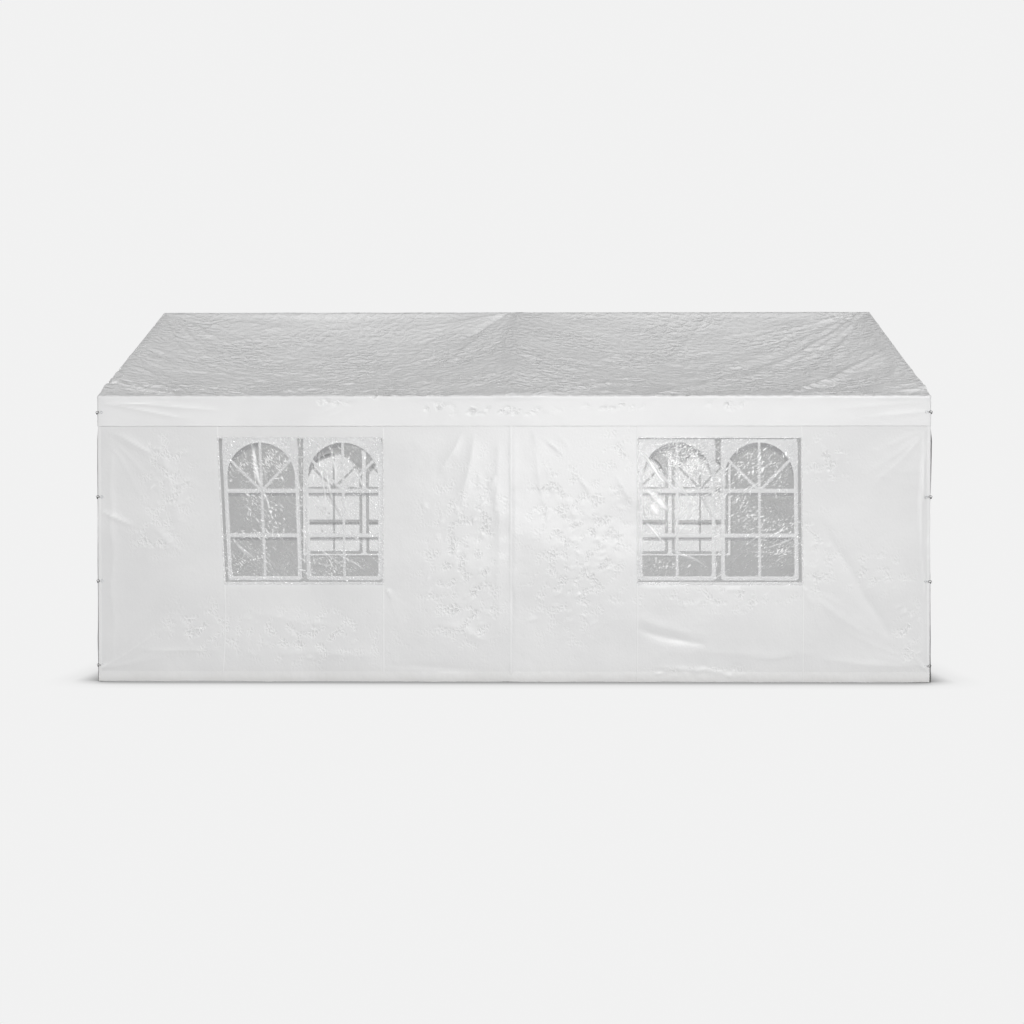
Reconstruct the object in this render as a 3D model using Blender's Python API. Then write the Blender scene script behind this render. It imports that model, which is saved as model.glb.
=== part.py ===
# Marquee tent, 6 m by 4 m: a plugged steel tube frame under a white tarpaulin roof,
# with four windowed side walls and a zipped door wall at each end.
# Metres, +Z up, origin on the ground under the middle of the tent, +X along the ridge.

import math

import bmesh
import bpy
from mathutils import Vector

# Driving sizes
LENGTH = 6.0
WIDTH = 4.0
RIDGE_TOP = 2.89
EAVE_TOP = 2.07
VALANCE_BOTTOM = 1.85
TUBE_RADIUS = 0.019
SOCKET_RADIUS = 0.0215
SOCKET_REACH = 0.11
TUBE_INSET = 0.03
FOOT_PLATE = 0.10
FOOT_THICKNESS = 0.004
PEG_HOLE_RADIUS = 0.0055
TARP = 0.003
FILM = 0.002
GAP = 0.0003
ROUND_SIDES = 16

# Side wall windows: each is measured from the middle of its own wall panel
ARCH_WIDTH = 0.50
ARCH_BOTTOM = 0.765
ARCH_TOP = 1.73
FRAME_WIDTH = 0.029
CLEAR_STRIP = 0.037
EDGE_STRIP = 0.022
WINDOW_OFFSET = -0.018
FILM_LAP = 0.018
ARCH_STEPS = 16
CUT_DEPTH = 0.05

# End walls
DOOR_WIDTH = 1.80
DOOR_HEIGHT = 1.92
WALL_TOP = 2.03
WALL_HEM = 0.004

# Sizes that follow: the tarpaulin layers lie outside the frame, one over the other
WALL_FACE = GAP + TARP
VALANCE_FACE = 2 * (GAP + TARP)
OUTER_Y = WIDTH / 2 + VALANCE_FACE
OUTER_X = LENGTH / 2 + VALANCE_FACE
SLOPE = math.atan2(RIDGE_TOP - EAVE_TOP, OUTER_Y)
RISE = math.tan(SLOPE)
STATION_X = LENGTH / 2 - SOCKET_RADIUS
STATION_Y = WIDTH / 2 - SOCKET_RADIUS
RIDGE_NODE = RIDGE_TOP - (TARP + GAP + SOCKET_RADIUS) / math.cos(SLOPE)
EAVE_NODE = RIDGE_NODE - STATION_Y * RISE

SIDES = {"front": -1, "back": 1}
STATIONS = {"left": -1, "middle": 0, "right": 1}


def clear_scene():
    for obj in list(bpy.data.objects):
        bpy.data.objects.remove(obj)


def make_material(name, colour, roughness, metallic=0.0, alpha=1.0):
    material = bpy.data.materials.new(name)
    material.use_nodes = True
    shader = material.node_tree.nodes["Principled BSDF"]
    shader.inputs["Base Color"].default_value = (*colour, 1.0)
    shader.inputs["Roughness"].default_value = roughness
    shader.inputs["Metallic"].default_value = metallic
    shader.inputs["Alpha"].default_value = alpha
    return material


def make_group(name):
    empty = bpy.data.objects.new(name, None)
    bpy.context.scene.collection.objects.link(empty)
    return empty


def make_object(name, bm, material, parent=None):
    """Turns a bmesh into a linked object with its faces pointing out."""
    bmesh.ops.recalc_face_normals(bm, faces=bm.faces)
    mesh = bpy.data.meshes.new(name)
    bm.to_mesh(mesh)
    bm.free()
    mesh.materials.append(material)
    obj = bpy.data.objects.new(name, mesh)
    bpy.context.scene.collection.objects.link(obj)
    obj.parent = parent
    return obj


def hide_helper(obj):
    obj.hide_render = True
    obj.display_type = "WIRE"


def bake_modifiers(obj, helpers):
    """Keeps the evaluated mesh of obj and removes the helpers that shaped it."""
    graph = bpy.context.evaluated_depsgraph_get()
    mesh = bpy.data.meshes.new_from_object(obj.evaluated_get(graph))
    obj.modifiers.clear()
    obj.data = mesh
    for helper in helpers:
        bpy.data.objects.remove(helper)


def add_boolean(obj, operation, other):
    modifier = obj.modifiers.new(operation.title(), "BOOLEAN")
    modifier.operation = operation
    modifier.object = other
    modifier.solver = "EXACT"
    hide_helper(other)


def make_rod(name, start, direction, length, radius, material, parent=None):
    """A round bar from start along direction, with its own origin at start."""
    bm = bmesh.new()
    bmesh.ops.create_cone(
        bm,
        cap_ends=True,
        segments=ROUND_SIDES,
        radius1=radius,
        radius2=radius,
        depth=length,
    )
    bmesh.ops.translate(bm, verts=bm.verts, vec=(0, 0, length / 2))
    obj = make_object(name, bm, material, parent)
    obj.data.shade_smooth()
    obj.data.set_sharp_from_angle(angle=math.radians(40))
    obj.location = start
    obj.rotation_mode = "QUATERNION"
    obj.rotation_quaternion = Vector(direction).to_track_quat("Z", "Y")
    return obj


def make_tube(name, start_node, end_node, material, parent):
    """A frame tube whose ends sit in the sockets of the connectors at its two nodes."""
    along = Vector(end_node) - Vector(start_node)
    direction = along.normalized()
    return make_rod(
        name,
        Vector(start_node) + direction * TUBE_INSET,
        direction,
        along.length - 2 * TUBE_INSET,
        TUBE_RADIUS,
        material,
        parent,
    )


def make_connector(name, node, arms, material, parent):
    """A welded knot of sockets: one arm for each direction, bored for the tube that it takes."""
    bm = bmesh.new()
    bmesh.ops.create_uvsphere(
        bm, u_segments=ROUND_SIDES, v_segments=ROUND_SIDES // 2, radius=SOCKET_RADIUS * 0.97
    )
    knot = make_object(name, bm, material, parent)
    knot.location = node
    helpers = []
    for number, arm in enumerate(arms):
        socket = make_rod(
            f"{name}_socket_{number}", node, arm, SOCKET_REACH, SOCKET_RADIUS, material
        )
        add_boolean(knot, "UNION", socket)
        helpers.append(socket)
    bore_start = TUBE_INSET - GAP
    for number, arm in enumerate(arms):
        bore = make_rod(
            f"{name}_bore_{number}",
            Vector(node) + Vector(arm).normalized() * bore_start,
            arm,
            SOCKET_REACH,
            TUBE_RADIUS + GAP,
            material,
        )
        add_boolean(knot, "DIFFERENCE", bore)
        helpers.append(bore)
    bake_modifiers(knot, helpers)
    return knot


def make_plate(name, outline, normal_axis, low, high, material, parent=None):
    """A flat sheet: outline is a list of 2D points in the plane across normal_axis."""
    def corner(point, depth):
        if normal_axis == "X":
            return (depth, point[0], point[1])
        if normal_axis == "Y":
            return (point[0], depth, point[1])
        return (point[0], point[1], depth)

    bm = bmesh.new()
    near = [bm.verts.new(corner(point, low)) for point in outline]
    face = bm.faces.new(near)
    swept = bmesh.ops.extrude_face_region(bm, geom=[face])
    moved = [item for item in swept["geom"] if isinstance(item, bmesh.types.BMVert)]
    depth = Vector(corner((0, 0), high)) - Vector(corner((0, 0), low))
    bmesh.ops.translate(bm, verts=moved, vec=depth)
    return make_object(name, bm, material, parent)


def rectangle(x_low, x_high, z_low, z_high):
    return [(x_low, z_low), (x_high, z_low), (x_high, z_high), (x_low, z_high)]


def eave_node(side, station):
    return (STATIONS[station] * STATION_X, SIDES[side] * STATION_Y, EAVE_NODE)


def ridge_node(station):
    return (STATIONS[station] * STATION_X, 0, RIDGE_NODE)


# Frame


def make_leg(side, station, material, parent):
    """An upright welded to its foot plate, which points inwards so that the walls hang clear of it."""
    x, y, z = eave_node(side, station)
    socket_seat = z - TUBE_INSET
    leg = make_rod(
        f"leg_{side}_{station}", (x, y, 0), (0, 0, 1), socket_seat, TUBE_RADIUS, material, parent
    )
    reach = FOOT_PLATE / 2 - TUBE_RADIUS
    plate_x = -STATIONS[station] * reach
    plate_y = -SIDES[side] * reach
    half = FOOT_PLATE / 2
    plate = make_plate(
        f"plate_{side}_{station}",
        [
            (plate_x - half, plate_y - half),
            (plate_x + half, plate_y - half),
            (plate_x + half, plate_y + half),
            (plate_x - half, plate_y + half),
        ],
        "Z",
        0,
        FOOT_THICKNESS,
        material,
    )
    plate.location = (x, y, 0)
    helpers = [plate]
    add_boolean(leg, "UNION", plate)
    hole_inset = 0.016
    inner_y = plate_y - SIDES[side] * (half - hole_inset)
    for number, way in enumerate((-1, 1)):
        hole = make_rod(
            f"peg_hole_{side}_{station}_{number}",
            (x + plate_x + way * (half - hole_inset), y + inner_y, -FOOT_THICKNESS),
            (0, 0, 1),
            3 * FOOT_THICKNESS,
            PEG_HOLE_RADIUS,
            material,
        )
        add_boolean(leg, "DIFFERENCE", hole)
        helpers.append(hole)
    bake_modifiers(leg, helpers)


def rafter_direction(side):
    """Unit vector from the ridge down towards one eave."""
    return Vector((0, SIDES[side] * math.cos(SLOPE), -math.sin(SLOPE)))


def purlin_arms(station):
    """Directions along X in which a connector holds a purlin."""
    place = STATIONS[station]
    return [(way, 0, 0) for way in (-1, 1) if place != way]


def make_frame(material, connector_material):
    frame = make_group("frame")
    for station in STATIONS:
        along = purlin_arms(station)
        for side in SIDES:
            make_leg(side, station, material, frame)
            node = eave_node(side, station)
            uphill = tuple(-rafter_direction(side))
            make_connector(
                f"eave_connector_{side}_{station}",
                node,
                [(0, 0, -1), uphill, *along],
                connector_material,
                frame,
            )
            make_tube(
                f"rafter_{side}_{station}", node, ridge_node(station), material, frame
            )
        make_connector(
            f"ridge_connector_{station}",
            ridge_node(station),
            [tuple(rafter_direction("front")), tuple(rafter_direction("back")), *along],
            connector_material,
            frame,
        )
    for bay, (first, last) in {"left": ("left", "middle"), "right": ("middle", "right")}.items():
        for side in SIDES:
            make_tube(
                f"eave_purlin_{side}_{bay}",
                eave_node(side, first),
                eave_node(side, last),
                material,
                frame,
            )
        make_tube(f"ridge_purlin_{bay}", ridge_node(first), ridge_node(last), material, frame)


# Roof cover


def roof_underside(y):
    """Height of the underside of the roof tarpaulin at a distance y from the ridge."""
    return RIDGE_TOP - TARP / math.cos(SLOPE) - abs(y) * RISE


def make_roof(material):
    roof = make_group("roof_cover")
    lift = GAP / math.cos(SLOPE)
    thickness = TARP / math.cos(SLOPE)
    for side, way in SIDES.items():
        seam = way * GAP / 2
        edge = way * OUTER_Y
        make_plate(
            f"roof_{side}",
            [
                (seam, roof_underside(seam)),
                (edge, roof_underside(edge)),
                (edge, roof_underside(edge) + thickness),
                (seam, roof_underside(seam) + thickness),
            ],
            "X",
            -OUTER_X,
            OUTER_X,
            material,
            roof,
        )
        inner = way * (OUTER_Y - TARP)
        make_plate(
            f"valance_{side}",
            [
                (inner, VALANCE_BOTTOM),
                (edge, VALANCE_BOTTOM),
                (edge, roof_underside(edge) - lift),
                (inner, roof_underside(inner) - lift),
            ],
            "X",
            -OUTER_X,
            OUTER_X,
            material,
            roof,
        )
    for station in ("left", "right"):
        way = STATIONS[station]
        half = OUTER_Y - TARP - GAP
        make_plate(
            f"gable_{station}",
            [
                (-half, VALANCE_BOTTOM),
                (half, VALANCE_BOTTOM),
                (half, roof_underside(half) - lift),
                (0, roof_underside(0) - lift),
                (-half, roof_underside(half) - lift),
            ],
            "X",
            way * (OUTER_X - TARP),
            way * OUTER_X,
            material,
            roof,
        )


# Side walls and their windows


def arch_outline(middle):
    """Outline of one arched light: straight sides under a half round head."""
    half = ARCH_WIDTH / 2
    spring = ARCH_TOP - half
    points = [(middle - half, ARCH_BOTTOM), (middle + half, ARCH_BOTTOM)]
    for step in range(ARCH_STEPS + 1):
        turn = math.pi * step / ARCH_STEPS
        points.append((middle + half * math.cos(turn), spring + half * math.sin(turn)))
    return points


def cut_window(panel, side, way, material):
    """Cuts two arched lights and the clear strips beside and under them through a wall panel.
    way is -1 in a left panel and 1 in a right one, whose upright strip is on its outer edge.
    Returns the outline of the film that closes them all."""
    face = SIDES[side] * WIDTH / 2
    near, far = face - CUT_DEPTH, face + CUT_DEPTH
    centre = way * LENGTH / 4 + WINDOW_OFFSET
    spacing = ARCH_WIDTH / 2 + FRAME_WIDTH + CLEAR_STRIP / 2
    half = spacing + ARCH_WIDTH / 2 + FRAME_WIDTH
    sill = ARCH_BOTTOM - FRAME_WIDTH
    head = ARCH_TOP + FRAME_WIDTH
    foot = sill - EDGE_STRIP
    inside = centre - way * half
    outside = centre + way * half
    rim = outside + way * EDGE_STRIP
    cuts = [
        arch_outline(centre - spacing),
        arch_outline(centre + spacing),
        rectangle(centre - CLEAR_STRIP / 2, centre + CLEAR_STRIP / 2, foot, head),
        rectangle(min(outside, rim), max(outside, rim), foot, head),
        rectangle(min(inside, outside), max(inside, outside), foot, sill),
    ]
    helpers = []
    for number, outline in enumerate(cuts):
        cutter = make_plate(f"cut_{panel.name}_{number}", outline, "Y", near, far, material)
        add_boolean(panel, "DIFFERENCE", cutter)
        helpers.append(cutter)
    bake_modifiers(panel, helpers)
    return rectangle(
        min(inside, rim) - FILM_LAP, max(inside, rim) + FILM_LAP, foot - FILM_LAP, head + FILM_LAP
    )


def make_side_walls(material, film_material):
    walls = make_group("side_walls")
    for side, outward in SIDES.items():
        inner = outward * (WIDTH / 2 + GAP)
        outer = outward * (WIDTH / 2 + WALL_FACE)
        film_inner = outer + outward * GAP
        for station in ("left", "right"):
            way = STATIONS[station]
            seam = way * GAP / 2
            corner = way * (LENGTH / 2 + WALL_FACE)
            panel = make_plate(
                f"side_wall_{side}_{station}",
                rectangle(min(seam, corner), max(seam, corner), WALL_HEM, WALL_TOP),
                "Y",
                inner,
                outer,
                material,
                walls,
            )
            film_outline = cut_window(panel, side, way, material)
            make_plate(
                f"window_{side}_{station}",
                film_outline,
                "Y",
                film_inner,
                film_inner + outward * FILM,
                film_material,
                walls,
            )


# End walls and their doors


def make_end_walls(material):
    walls = make_group("end_walls")
    half = WIDTH / 2
    doorway = DOOR_WIDTH / 2
    for station in ("left", "right"):
        way = STATIONS[station]
        inner = way * (LENGTH / 2 + GAP)
        outer = way * (LENGTH / 2 + WALL_FACE)
        make_plate(
            f"end_wall_{station}",
            [
                (-half, WALL_HEM),
                (-doorway, WALL_HEM),
                (-doorway, DOOR_HEIGHT),
                (doorway, DOOR_HEIGHT),
                (doorway, WALL_HEM),
                (half, WALL_HEM),
                (half, WALL_TOP),
                (-half, WALL_TOP),
            ],
            "X",
            inner,
            outer,
            material,
            walls,
        )
        make_plate(
            f"door_{station}",
            rectangle(-doorway + GAP, doorway - GAP, WALL_HEM, DOOR_HEIGHT - GAP),
            "X",
            inner,
            outer,
            material,
            walls,
        )


def main():
    clear_scene()
    frame_paint = make_material("frame_paint", (0.80, 0.81, 0.82), 0.38, 0.3)
    connector_steel = make_material("connector_steel", (0.62, 0.63, 0.64), 0.35, 0.9)
    roof_tarpaulin = make_material("roof_tarpaulin", (0.82, 0.82, 0.83), 0.5)
    wall_tarpaulin = make_material("wall_tarpaulin", (0.88, 0.88, 0.88), 0.4)
    window_film = make_material("window_film", (0.93, 0.94, 0.95), 0.1, 0.0, 0.25)
    make_frame(frame_paint, connector_steel)
    make_roof(roof_tarpaulin)
    make_side_walls(wall_tarpaulin, window_film)
    make_end_walls(wall_tarpaulin)


main()
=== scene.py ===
# Marquee tent: a tarpaulin cover with windowed walls over a plugged tube frame, all in metres
import math

import bmesh
import bpy
import numpy as np
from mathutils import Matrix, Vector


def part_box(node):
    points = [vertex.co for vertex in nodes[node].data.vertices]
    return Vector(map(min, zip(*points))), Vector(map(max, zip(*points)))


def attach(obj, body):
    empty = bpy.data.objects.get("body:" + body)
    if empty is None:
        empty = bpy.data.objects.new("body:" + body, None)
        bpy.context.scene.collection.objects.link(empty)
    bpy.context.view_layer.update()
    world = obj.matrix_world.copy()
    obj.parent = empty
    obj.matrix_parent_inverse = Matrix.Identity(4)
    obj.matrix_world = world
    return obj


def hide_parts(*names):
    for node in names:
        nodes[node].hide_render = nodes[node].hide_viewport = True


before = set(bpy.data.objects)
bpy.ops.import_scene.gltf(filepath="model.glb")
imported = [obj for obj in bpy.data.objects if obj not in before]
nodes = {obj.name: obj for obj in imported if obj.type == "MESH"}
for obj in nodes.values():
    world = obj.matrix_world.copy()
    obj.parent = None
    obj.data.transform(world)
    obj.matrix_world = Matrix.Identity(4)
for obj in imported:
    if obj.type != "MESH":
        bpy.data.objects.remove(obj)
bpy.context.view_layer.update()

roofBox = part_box("roof_front")
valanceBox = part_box("valance_front")
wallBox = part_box("side_wall_front_left")
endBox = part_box("end_wall_right")
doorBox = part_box("door_right")

# ---- short ways to add objects and nodes


def addObject(name, data):
    made = bpy.data.objects.new(name, data)
    bpy.context.scene.collection.objects.link(made)
    return made


# gives each named or numbered input its link or its value
def feed(tree, node, inputs):
    for key, value in inputs.items():
        if isinstance(value, bpy.types.NodeSocket):
            tree.links.new(value, node.inputs[key])
        else:
            node.inputs[key].default_value = value


def addNode(tree, kind, inputs=None, **settings):
    node = tree.nodes.new("ShaderNode" + kind)
    for key, value in settings.items():
        setattr(node, key, value)
    feed(tree, node, inputs or {})
    return node


def addMath(tree, operation, *values, clamp=False):
    return addNode(tree, "Math", dict(enumerate(values)), operation=operation, use_clamp=clamp).outputs[0]


def addVectorMath(tree, operation, first, second):
    return addNode(tree, "VectorMath", {0: first, 1: second}, operation=operation).outputs[0]


def addNoise(tree, vector, scale, detail):
    return addNode(tree, "TexNoise", {"Vector": vector, "Scale": scale, "Detail": detail}).outputs["Fac"]


# ---- camera, lights and floor

cameraLook = {
    "place": (0.135, -12.965, 1.446),
    "tiltDown": 1.133,  # degrees
    "turnLeft": 0.733,
    "lens": 53.4,
    "sensor": 36.0,
}


def makeCamera(look):
    camera = addObject("photoCamera", bpy.data.cameras.new("photoCamera"))
    camera.data.lens = look["lens"]
    camera.data.sensor_width = look["sensor"]
    camera.location = look["place"]
    camera.rotation_euler = (math.radians(90 - look["tiltDown"]), 0.0, math.radians(look["turnLeft"]))
    return camera


bpy.context.scene.camera = makeCamera(cameraLook)
bpy.context.scene.view_settings.view_transform = "Standard"

studio = {
    "backdrop": 0.883,  # how bright the plain background looks
    "skyLight": 0.285,  # light that the room gives from all round
    "suns": {  # height and turn to the right of the front in degrees, softness, power, gloss
        "keyLight": (22.0, 10.0, 6.0, 1.94, True),
        "backLight": (20.0, 205.0, 20.0, 1.0, False),
    },
    "aim": (0.2, -2.0, 1.3),
    "lamps": {  # place, size and watts
        "glossLamp": ((0.9, -12.0, 1.8), (3.2, 1.8), 158.0),
        "leftLamp": ((-6.5, -10.0, 3.2), (0.7, 1.8), 20.0),
        "rightLamp": ((7.2, -9.0, 3.6), (0.7, 1.8), 55.0),
    },
}


# far away light, the same on the ridge as on the eave
def addSun(name, height, fromRight, softness, power, gloss):
    sun = addObject(name, bpy.data.lights.new(name, "SUN"))
    sun.data.energy = power
    sun.data.angle = math.radians(softness)
    sun.rotation_euler = (math.radians(90 - height), 0.0, math.radians(fromRight))
    sun.visible_glossy = gloss


# an area lamp turned so that it shines, along its own -Z, at the aim
def addLamp(name, place, size, power, aim):
    lamp = addObject(name, bpy.data.lights.new(name, "AREA"))
    lamp.data.energy = power
    lamp.data.shape = "RECTANGLE"
    lamp.data.size, lamp.data.size_y = size
    lamp.location = place
    x, y, z = (aim[i] - place[i] for i in range(3))
    lamp.rotation_euler = (math.atan2(math.hypot(x, y), -z), 0.0, math.atan2(-x, y))


# the backdrop that the camera sees is brighter than the light that the room gives
def makeWorld(look):
    world = bpy.data.worlds.new("studio")
    bpy.context.scene.world = world
    world.use_nodes = True
    tree = world.node_tree
    tree.nodes.clear()
    glows = [
        addNode(tree, "Background", {"Color": (1, 1, 1, 1), "Strength": look[key]}).outputs[0]
        for key in ("skyLight", "backdrop")
    ]
    path = addNode(tree, "LightPath").outputs["Is Camera Ray"]
    mix = addNode(tree, "MixShader", {0: path, 1: glows[0], 2: glows[1]})
    addNode(tree, "OutputWorld", {0: mix.outputs[0]})


for sunName, numbers in studio["suns"].items():
    addSun(sunName, *numbers)
for lampName, numbers in studio["lamps"].items():
    addLamp(lampName, *numbers, studio["aim"])
makeWorld(studio)

floorLook = {
    "reach": 60.0,
    "seenGlow": 0.883,
    "bounceGlow": 0.32,
    "shadows": ((0.42, 0.40), (0.20, 1.3)),  # reach and depth of the wide and of the close one
    "shadowSamples": 24,
}


# plain paper that looks evenly lit, with a contact shadow: glow * openness^depth, for each shadow
def makeFloor(look):
    reach = look["reach"]
    mesh = bpy.data.meshes.new("studioFloor")
    corners = [(-reach, -reach, 0), (reach, -reach, 0), (reach, reach, 0), (-reach, reach, 0)]
    mesh.from_pydata(corners, [], [(0, 1, 2, 3)])
    floor = addObject("studioFloor", mesh)
    material = bpy.data.materials.new("floorPaper")
    material.use_nodes = True
    tree = material.node_tree
    tree.nodes.clear()
    seen = addNode(tree, "LightPath").outputs["Is Camera Ray"]
    glows = {"Value": seen, "To Min": look["bounceGlow"], "To Max": look["seenGlow"]}
    level = addNode(tree, "MapRange", glows).outputs[0]
    for far, depth in look["shadows"]:
        openness = addNode(tree, "AmbientOcclusion", {"Distance": far}, samples=look["shadowSamples"])
        level = addMath(tree, "MULTIPLY", level, addMath(tree, "POWER", openness.outputs["AO"], depth))
    glow = addNode(tree, "Emission", {"Strength": level})
    addNode(tree, "OutputMaterial", {0: glow.outputs[0]})
    mesh.materials.append(material)


makeFloor(floorLook)
print("stage: camera, lights and floor")

# ---- numpy shapes that every piece uses


# eases from 0 to 1 as value goes from low to high: 3t^2 - 2t^3
def ease(value, low, high):
    t = np.clip((value - low) / (high - low), 0, 1)
    return t * t * (3 - 2 * t)


# a hump of height 1 at the middle, which falls as exp(-(away / reach)^2)
def hump(away, reach):
    return np.exp(-((away / reach) ** 2))


# Gradient noise: each lattice corner gives a random slope times the distance from it, and the
# four corners are blended with 6t^5 - 15t^4 + 10t^3. The result is about -1 to 1.
def ripple(x, y, seed):
    turns = np.random.default_rng(seed).uniform(0, 2 * np.pi, (64, 64))
    left, low = np.floor(x).astype(int), np.floor(y).astype(int)
    dx, dy = x - left, y - low
    wx = dx**3 * (dx * (dx * 6 - 15) + 10)
    wy = dy**3 * (dy * (dy * 6 - 15) + 10)
    total = 0.0
    for stepX in (0, 1):
        for stepY in (0, 1):
            turn = turns[(left + stepX) % 64, (low + stepY) % 64]
            slope = np.cos(turn) * (dx - stepX) + np.sin(turn) * (dy - stepY)
            weight = (wx if stepX else 1 - wx) * (wy if stepY else 1 - wy)
            total = total + slope * weight
    return total * 1.5


# Crumpled sheet: sharp crests where the noise passes zero, 0.5 - 2 * sqrt(n^2 + 0.01), in two sizes
def crinkle(x, y, seed):
    first = 0.5 - 2 * np.sqrt(ripple(x, y, seed) ** 2 + 0.01)
    second = 0.5 - 2 * np.sqrt(ripple(x * 2.1 + 7, y * 2.1 + 3, seed + 1) ** 2 + 0.01)
    return first + 0.45 * second


# Each fold is a line from one point to another with a width and a height. Across it the height
# falls as exp(-away / width), less a wider and lower copy that makes the hollows beside it.
# Along it the height rises and falls as sin(pi t)^0.7, or falls from the start where fromStart is set.
def foldHeight(x, y, folds, fromStart=False):
    total = np.zeros_like(x)
    for x0, y0, x1, y1, width, height in folds:
        length = math.hypot(x1 - x0, y1 - y0)
        along = ((x - x0) * (x1 - x0) + (y - y0) * (y1 - y0)) / length**2
        across = ((x - x0) * (y1 - y0) - (y - y0) * (x1 - x0)) / length
        share = np.clip(along, 0, 1)
        beyond = (along - share) * length
        if fromStart:
            span = width * (0.35 + 1.3 * share)
            taper = (1 - share) ** 0.8
        else:
            span = width * (0.6 + 0.8 * np.sin(np.pi * share))
            taper = np.sin(np.pi * np.clip(share, 0.001, 0.999)) ** 0.7
        away = np.sqrt(across**2 + beyond**2 + (0.2 * width) ** 2)
        crest = np.exp(-away / span) - 0.45 * np.exp(-away / (2.3 * span))
        total = total + height * taper * crest
    return total


# folds that spread from one point: count of them between two angles, in degrees
def fanOfFolds(anchor, angles, count, reach, width, height, seed):
    chance = np.random.default_rng(seed)
    steps = (np.arange(count) + chance.uniform(0.15, 0.85, count)) / count
    turns = np.radians(angles[0] + (angles[1] - angles[0]) * steps)
    lengths = chance.uniform(reach[0], reach[1], count)
    widths = width * chance.uniform(0.6, 1.3, count)
    heights = height * chance.uniform(0.5, 1.2, count)
    x, y = anchor
    return [
        (x, y, x + far * math.cos(turn), y + far * math.sin(turn), w, h)
        for turn, far, w, h in zip(turns, lengths, widths, heights)
    ]


# adds several fans of folds to a field
def addFans(field, x, y, fans):
    for fan in fans:
        field += foldHeight(x, y, fanOfFolds(*fan), fromStart=True)


# Both coordinates, each shifted by noise: how far each one moves, how long the noise is along x
# for each and along y for both, and where the second noise starts
def wander(x, y, farX, farY, longX, longY, wide, start, seed):
    moved = x + farX * ripple(x / longX, y / wide, seed)
    return moved, y + farY * ripple(x / longY + start, y / wide, seed + 1)


# noise and crumple with a height, a length and a width
def noiseWave(x, y, height, long, wide, seed):
    return height * ripple(x / long, y / wide, seed)


def crumpleWave(x, y, height, long, wide, seed):
    return height * crinkle(x / long, y / wide, seed)


# a level plus waves of noise, each with its height, length, width and step of the seed
def swells(x, y, level, parts, seed):
    for height, long, wide, step in parts:
        level = level + noiseWave(x, y, height, long, wide, seed + step)
    return level


# how crumpled a cloth is: a least amount, and more where the noise goes from low to high
def patchyFlurry(x, y, least, more, long, wide, low, high, seed):
    return least + more * ease(ripple(x / long, y / wide, seed), low, high)


# Short straight creases strewn over patches of the cloth. Each patch is (x, y, reachX, reachY,
# count, angle), and its creases lie within 50 degrees of that angle.
def strewnFolds(patches, length, width, height, seed):
    chance = np.random.default_rng(seed)
    folds = []
    for x, y, reachX, reachY, count, angle in patches:
        for _ in range(count):
            middleX = x + reachX * chance.uniform(-1, 1)
            middleY = y + reachY * chance.uniform(-1, 1)
            turn = math.radians(angle + chance.uniform(-50, 50))
            half = 0.5 * length * chance.uniform(0.5, 1.4)
            stepX, stepY = half * math.cos(turn), half * math.sin(turn)
            size = chance.uniform(0.5, 1.3)
            start, end = (middleX - stepX, middleY - stepY), (middleX + stepX, middleY + stepY)
            folds.append((*start, *end, width * size, height * size))
    return folds


# adds short folds to a field on straight grid lines, each only where it reaches
def addShortFolds(field, xs, ys, folds):
    for fold in folds:
        x0, y0, x1, y1, width, _ = fold
        margin = 7 * width
        columns = slice(*np.searchsorted(xs, (min(x0, x1) - margin, max(x0, x1) + margin)))
        rows = slice(*np.searchsorted(ys, (min(y0, y1) - margin, max(y0, y1) + margin)))
        if columns.stop > columns.start and rows.stop > rows.start:
            x, y = np.meshgrid(xs[columns], ys[rows])
            field[rows, columns] += foldHeight(x, y, [fold])
    return field


# 1 inside the strewn patches and 0 away from them: exp(-(dx/rx)^2 - (dy/ry)^2), added up and
# broken into clumps by noise
def strewnMask(x, y, patches, clump):
    mask = np.zeros_like(x)
    for middleX, middleY, reachX, reachY, *_ in patches:
        mask += np.exp(-(((x - middleX) / reachX) ** 2) - ((y - middleY) / reachY) ** 2)
    return np.clip(mask, 0, 1) * ease(ripple(x / clump, y / clump, 17), -0.1, 0.55)


# how pale a bent field looks, partly stress whitening and partly painted glints on its crests: minus the sum
# of its second differences over the steps squared
def creaseMask(field, stepX, stepY, scale):
    bend = np.zeros_like(field)
    middle = 2 * field[1:-1, 1:-1]
    bend[1:-1, 1:-1] = (middle - field[1:-1, :-2] - field[1:-1, 2:]) / stepX**2
    bend[1:-1, 1:-1] += (middle - field[:-2, 1:-1] - field[2:, 1:-1]) / stepY**2
    return np.clip(np.clip(bend, 0, None) * scale, 0, 1)


# evenly spaced grid lines through every given stop
def gridLines(stops, step):
    parts = []
    for low, high in zip(stops[:-1], stops[1:]):
        count = max(1, int(round((high - low) / step)))
        parts.append(np.linspace(low, high, count + 1)[:-1])
    return np.concatenate(parts + [np.array([stops[-1]])])


# points or coordinates from their parts, each spread to the same grid
def together(*parts):
    return np.stack(np.broadcast_arrays(*parts), axis=-1)


# One grid of points, rows by columns, with its quads, its cloth coordinates and its crease values
def makePatch(points, uv=0.0, crease=0.0, flurry=0.0, keep=None, closed=False, flip=False):
    rows, columns = points.shape[:2]
    index = np.arange(rows * columns).reshape(rows, columns)
    if closed:
        index = np.concatenate([index, index[:, :1]], axis=1)
    quads = np.stack([index[:-1, :-1], index[:-1, 1:], index[1:, 1:], index[1:, :-1]], axis=-1)
    quads = quads[keep] if keep is not None else quads.reshape(-1, 4)
    return {
        "points": points.reshape(-1, 3),
        "quads": quads[:, ::-1] if flip else quads,
        "uv": np.broadcast_to(uv, (rows, columns, 2)).reshape(-1, 2),
        "crease": np.broadcast_to(crease, (rows, columns)).reshape(-1),
        "flurry": np.broadcast_to(flurry, (rows, columns)).reshape(-1),
    }


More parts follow.
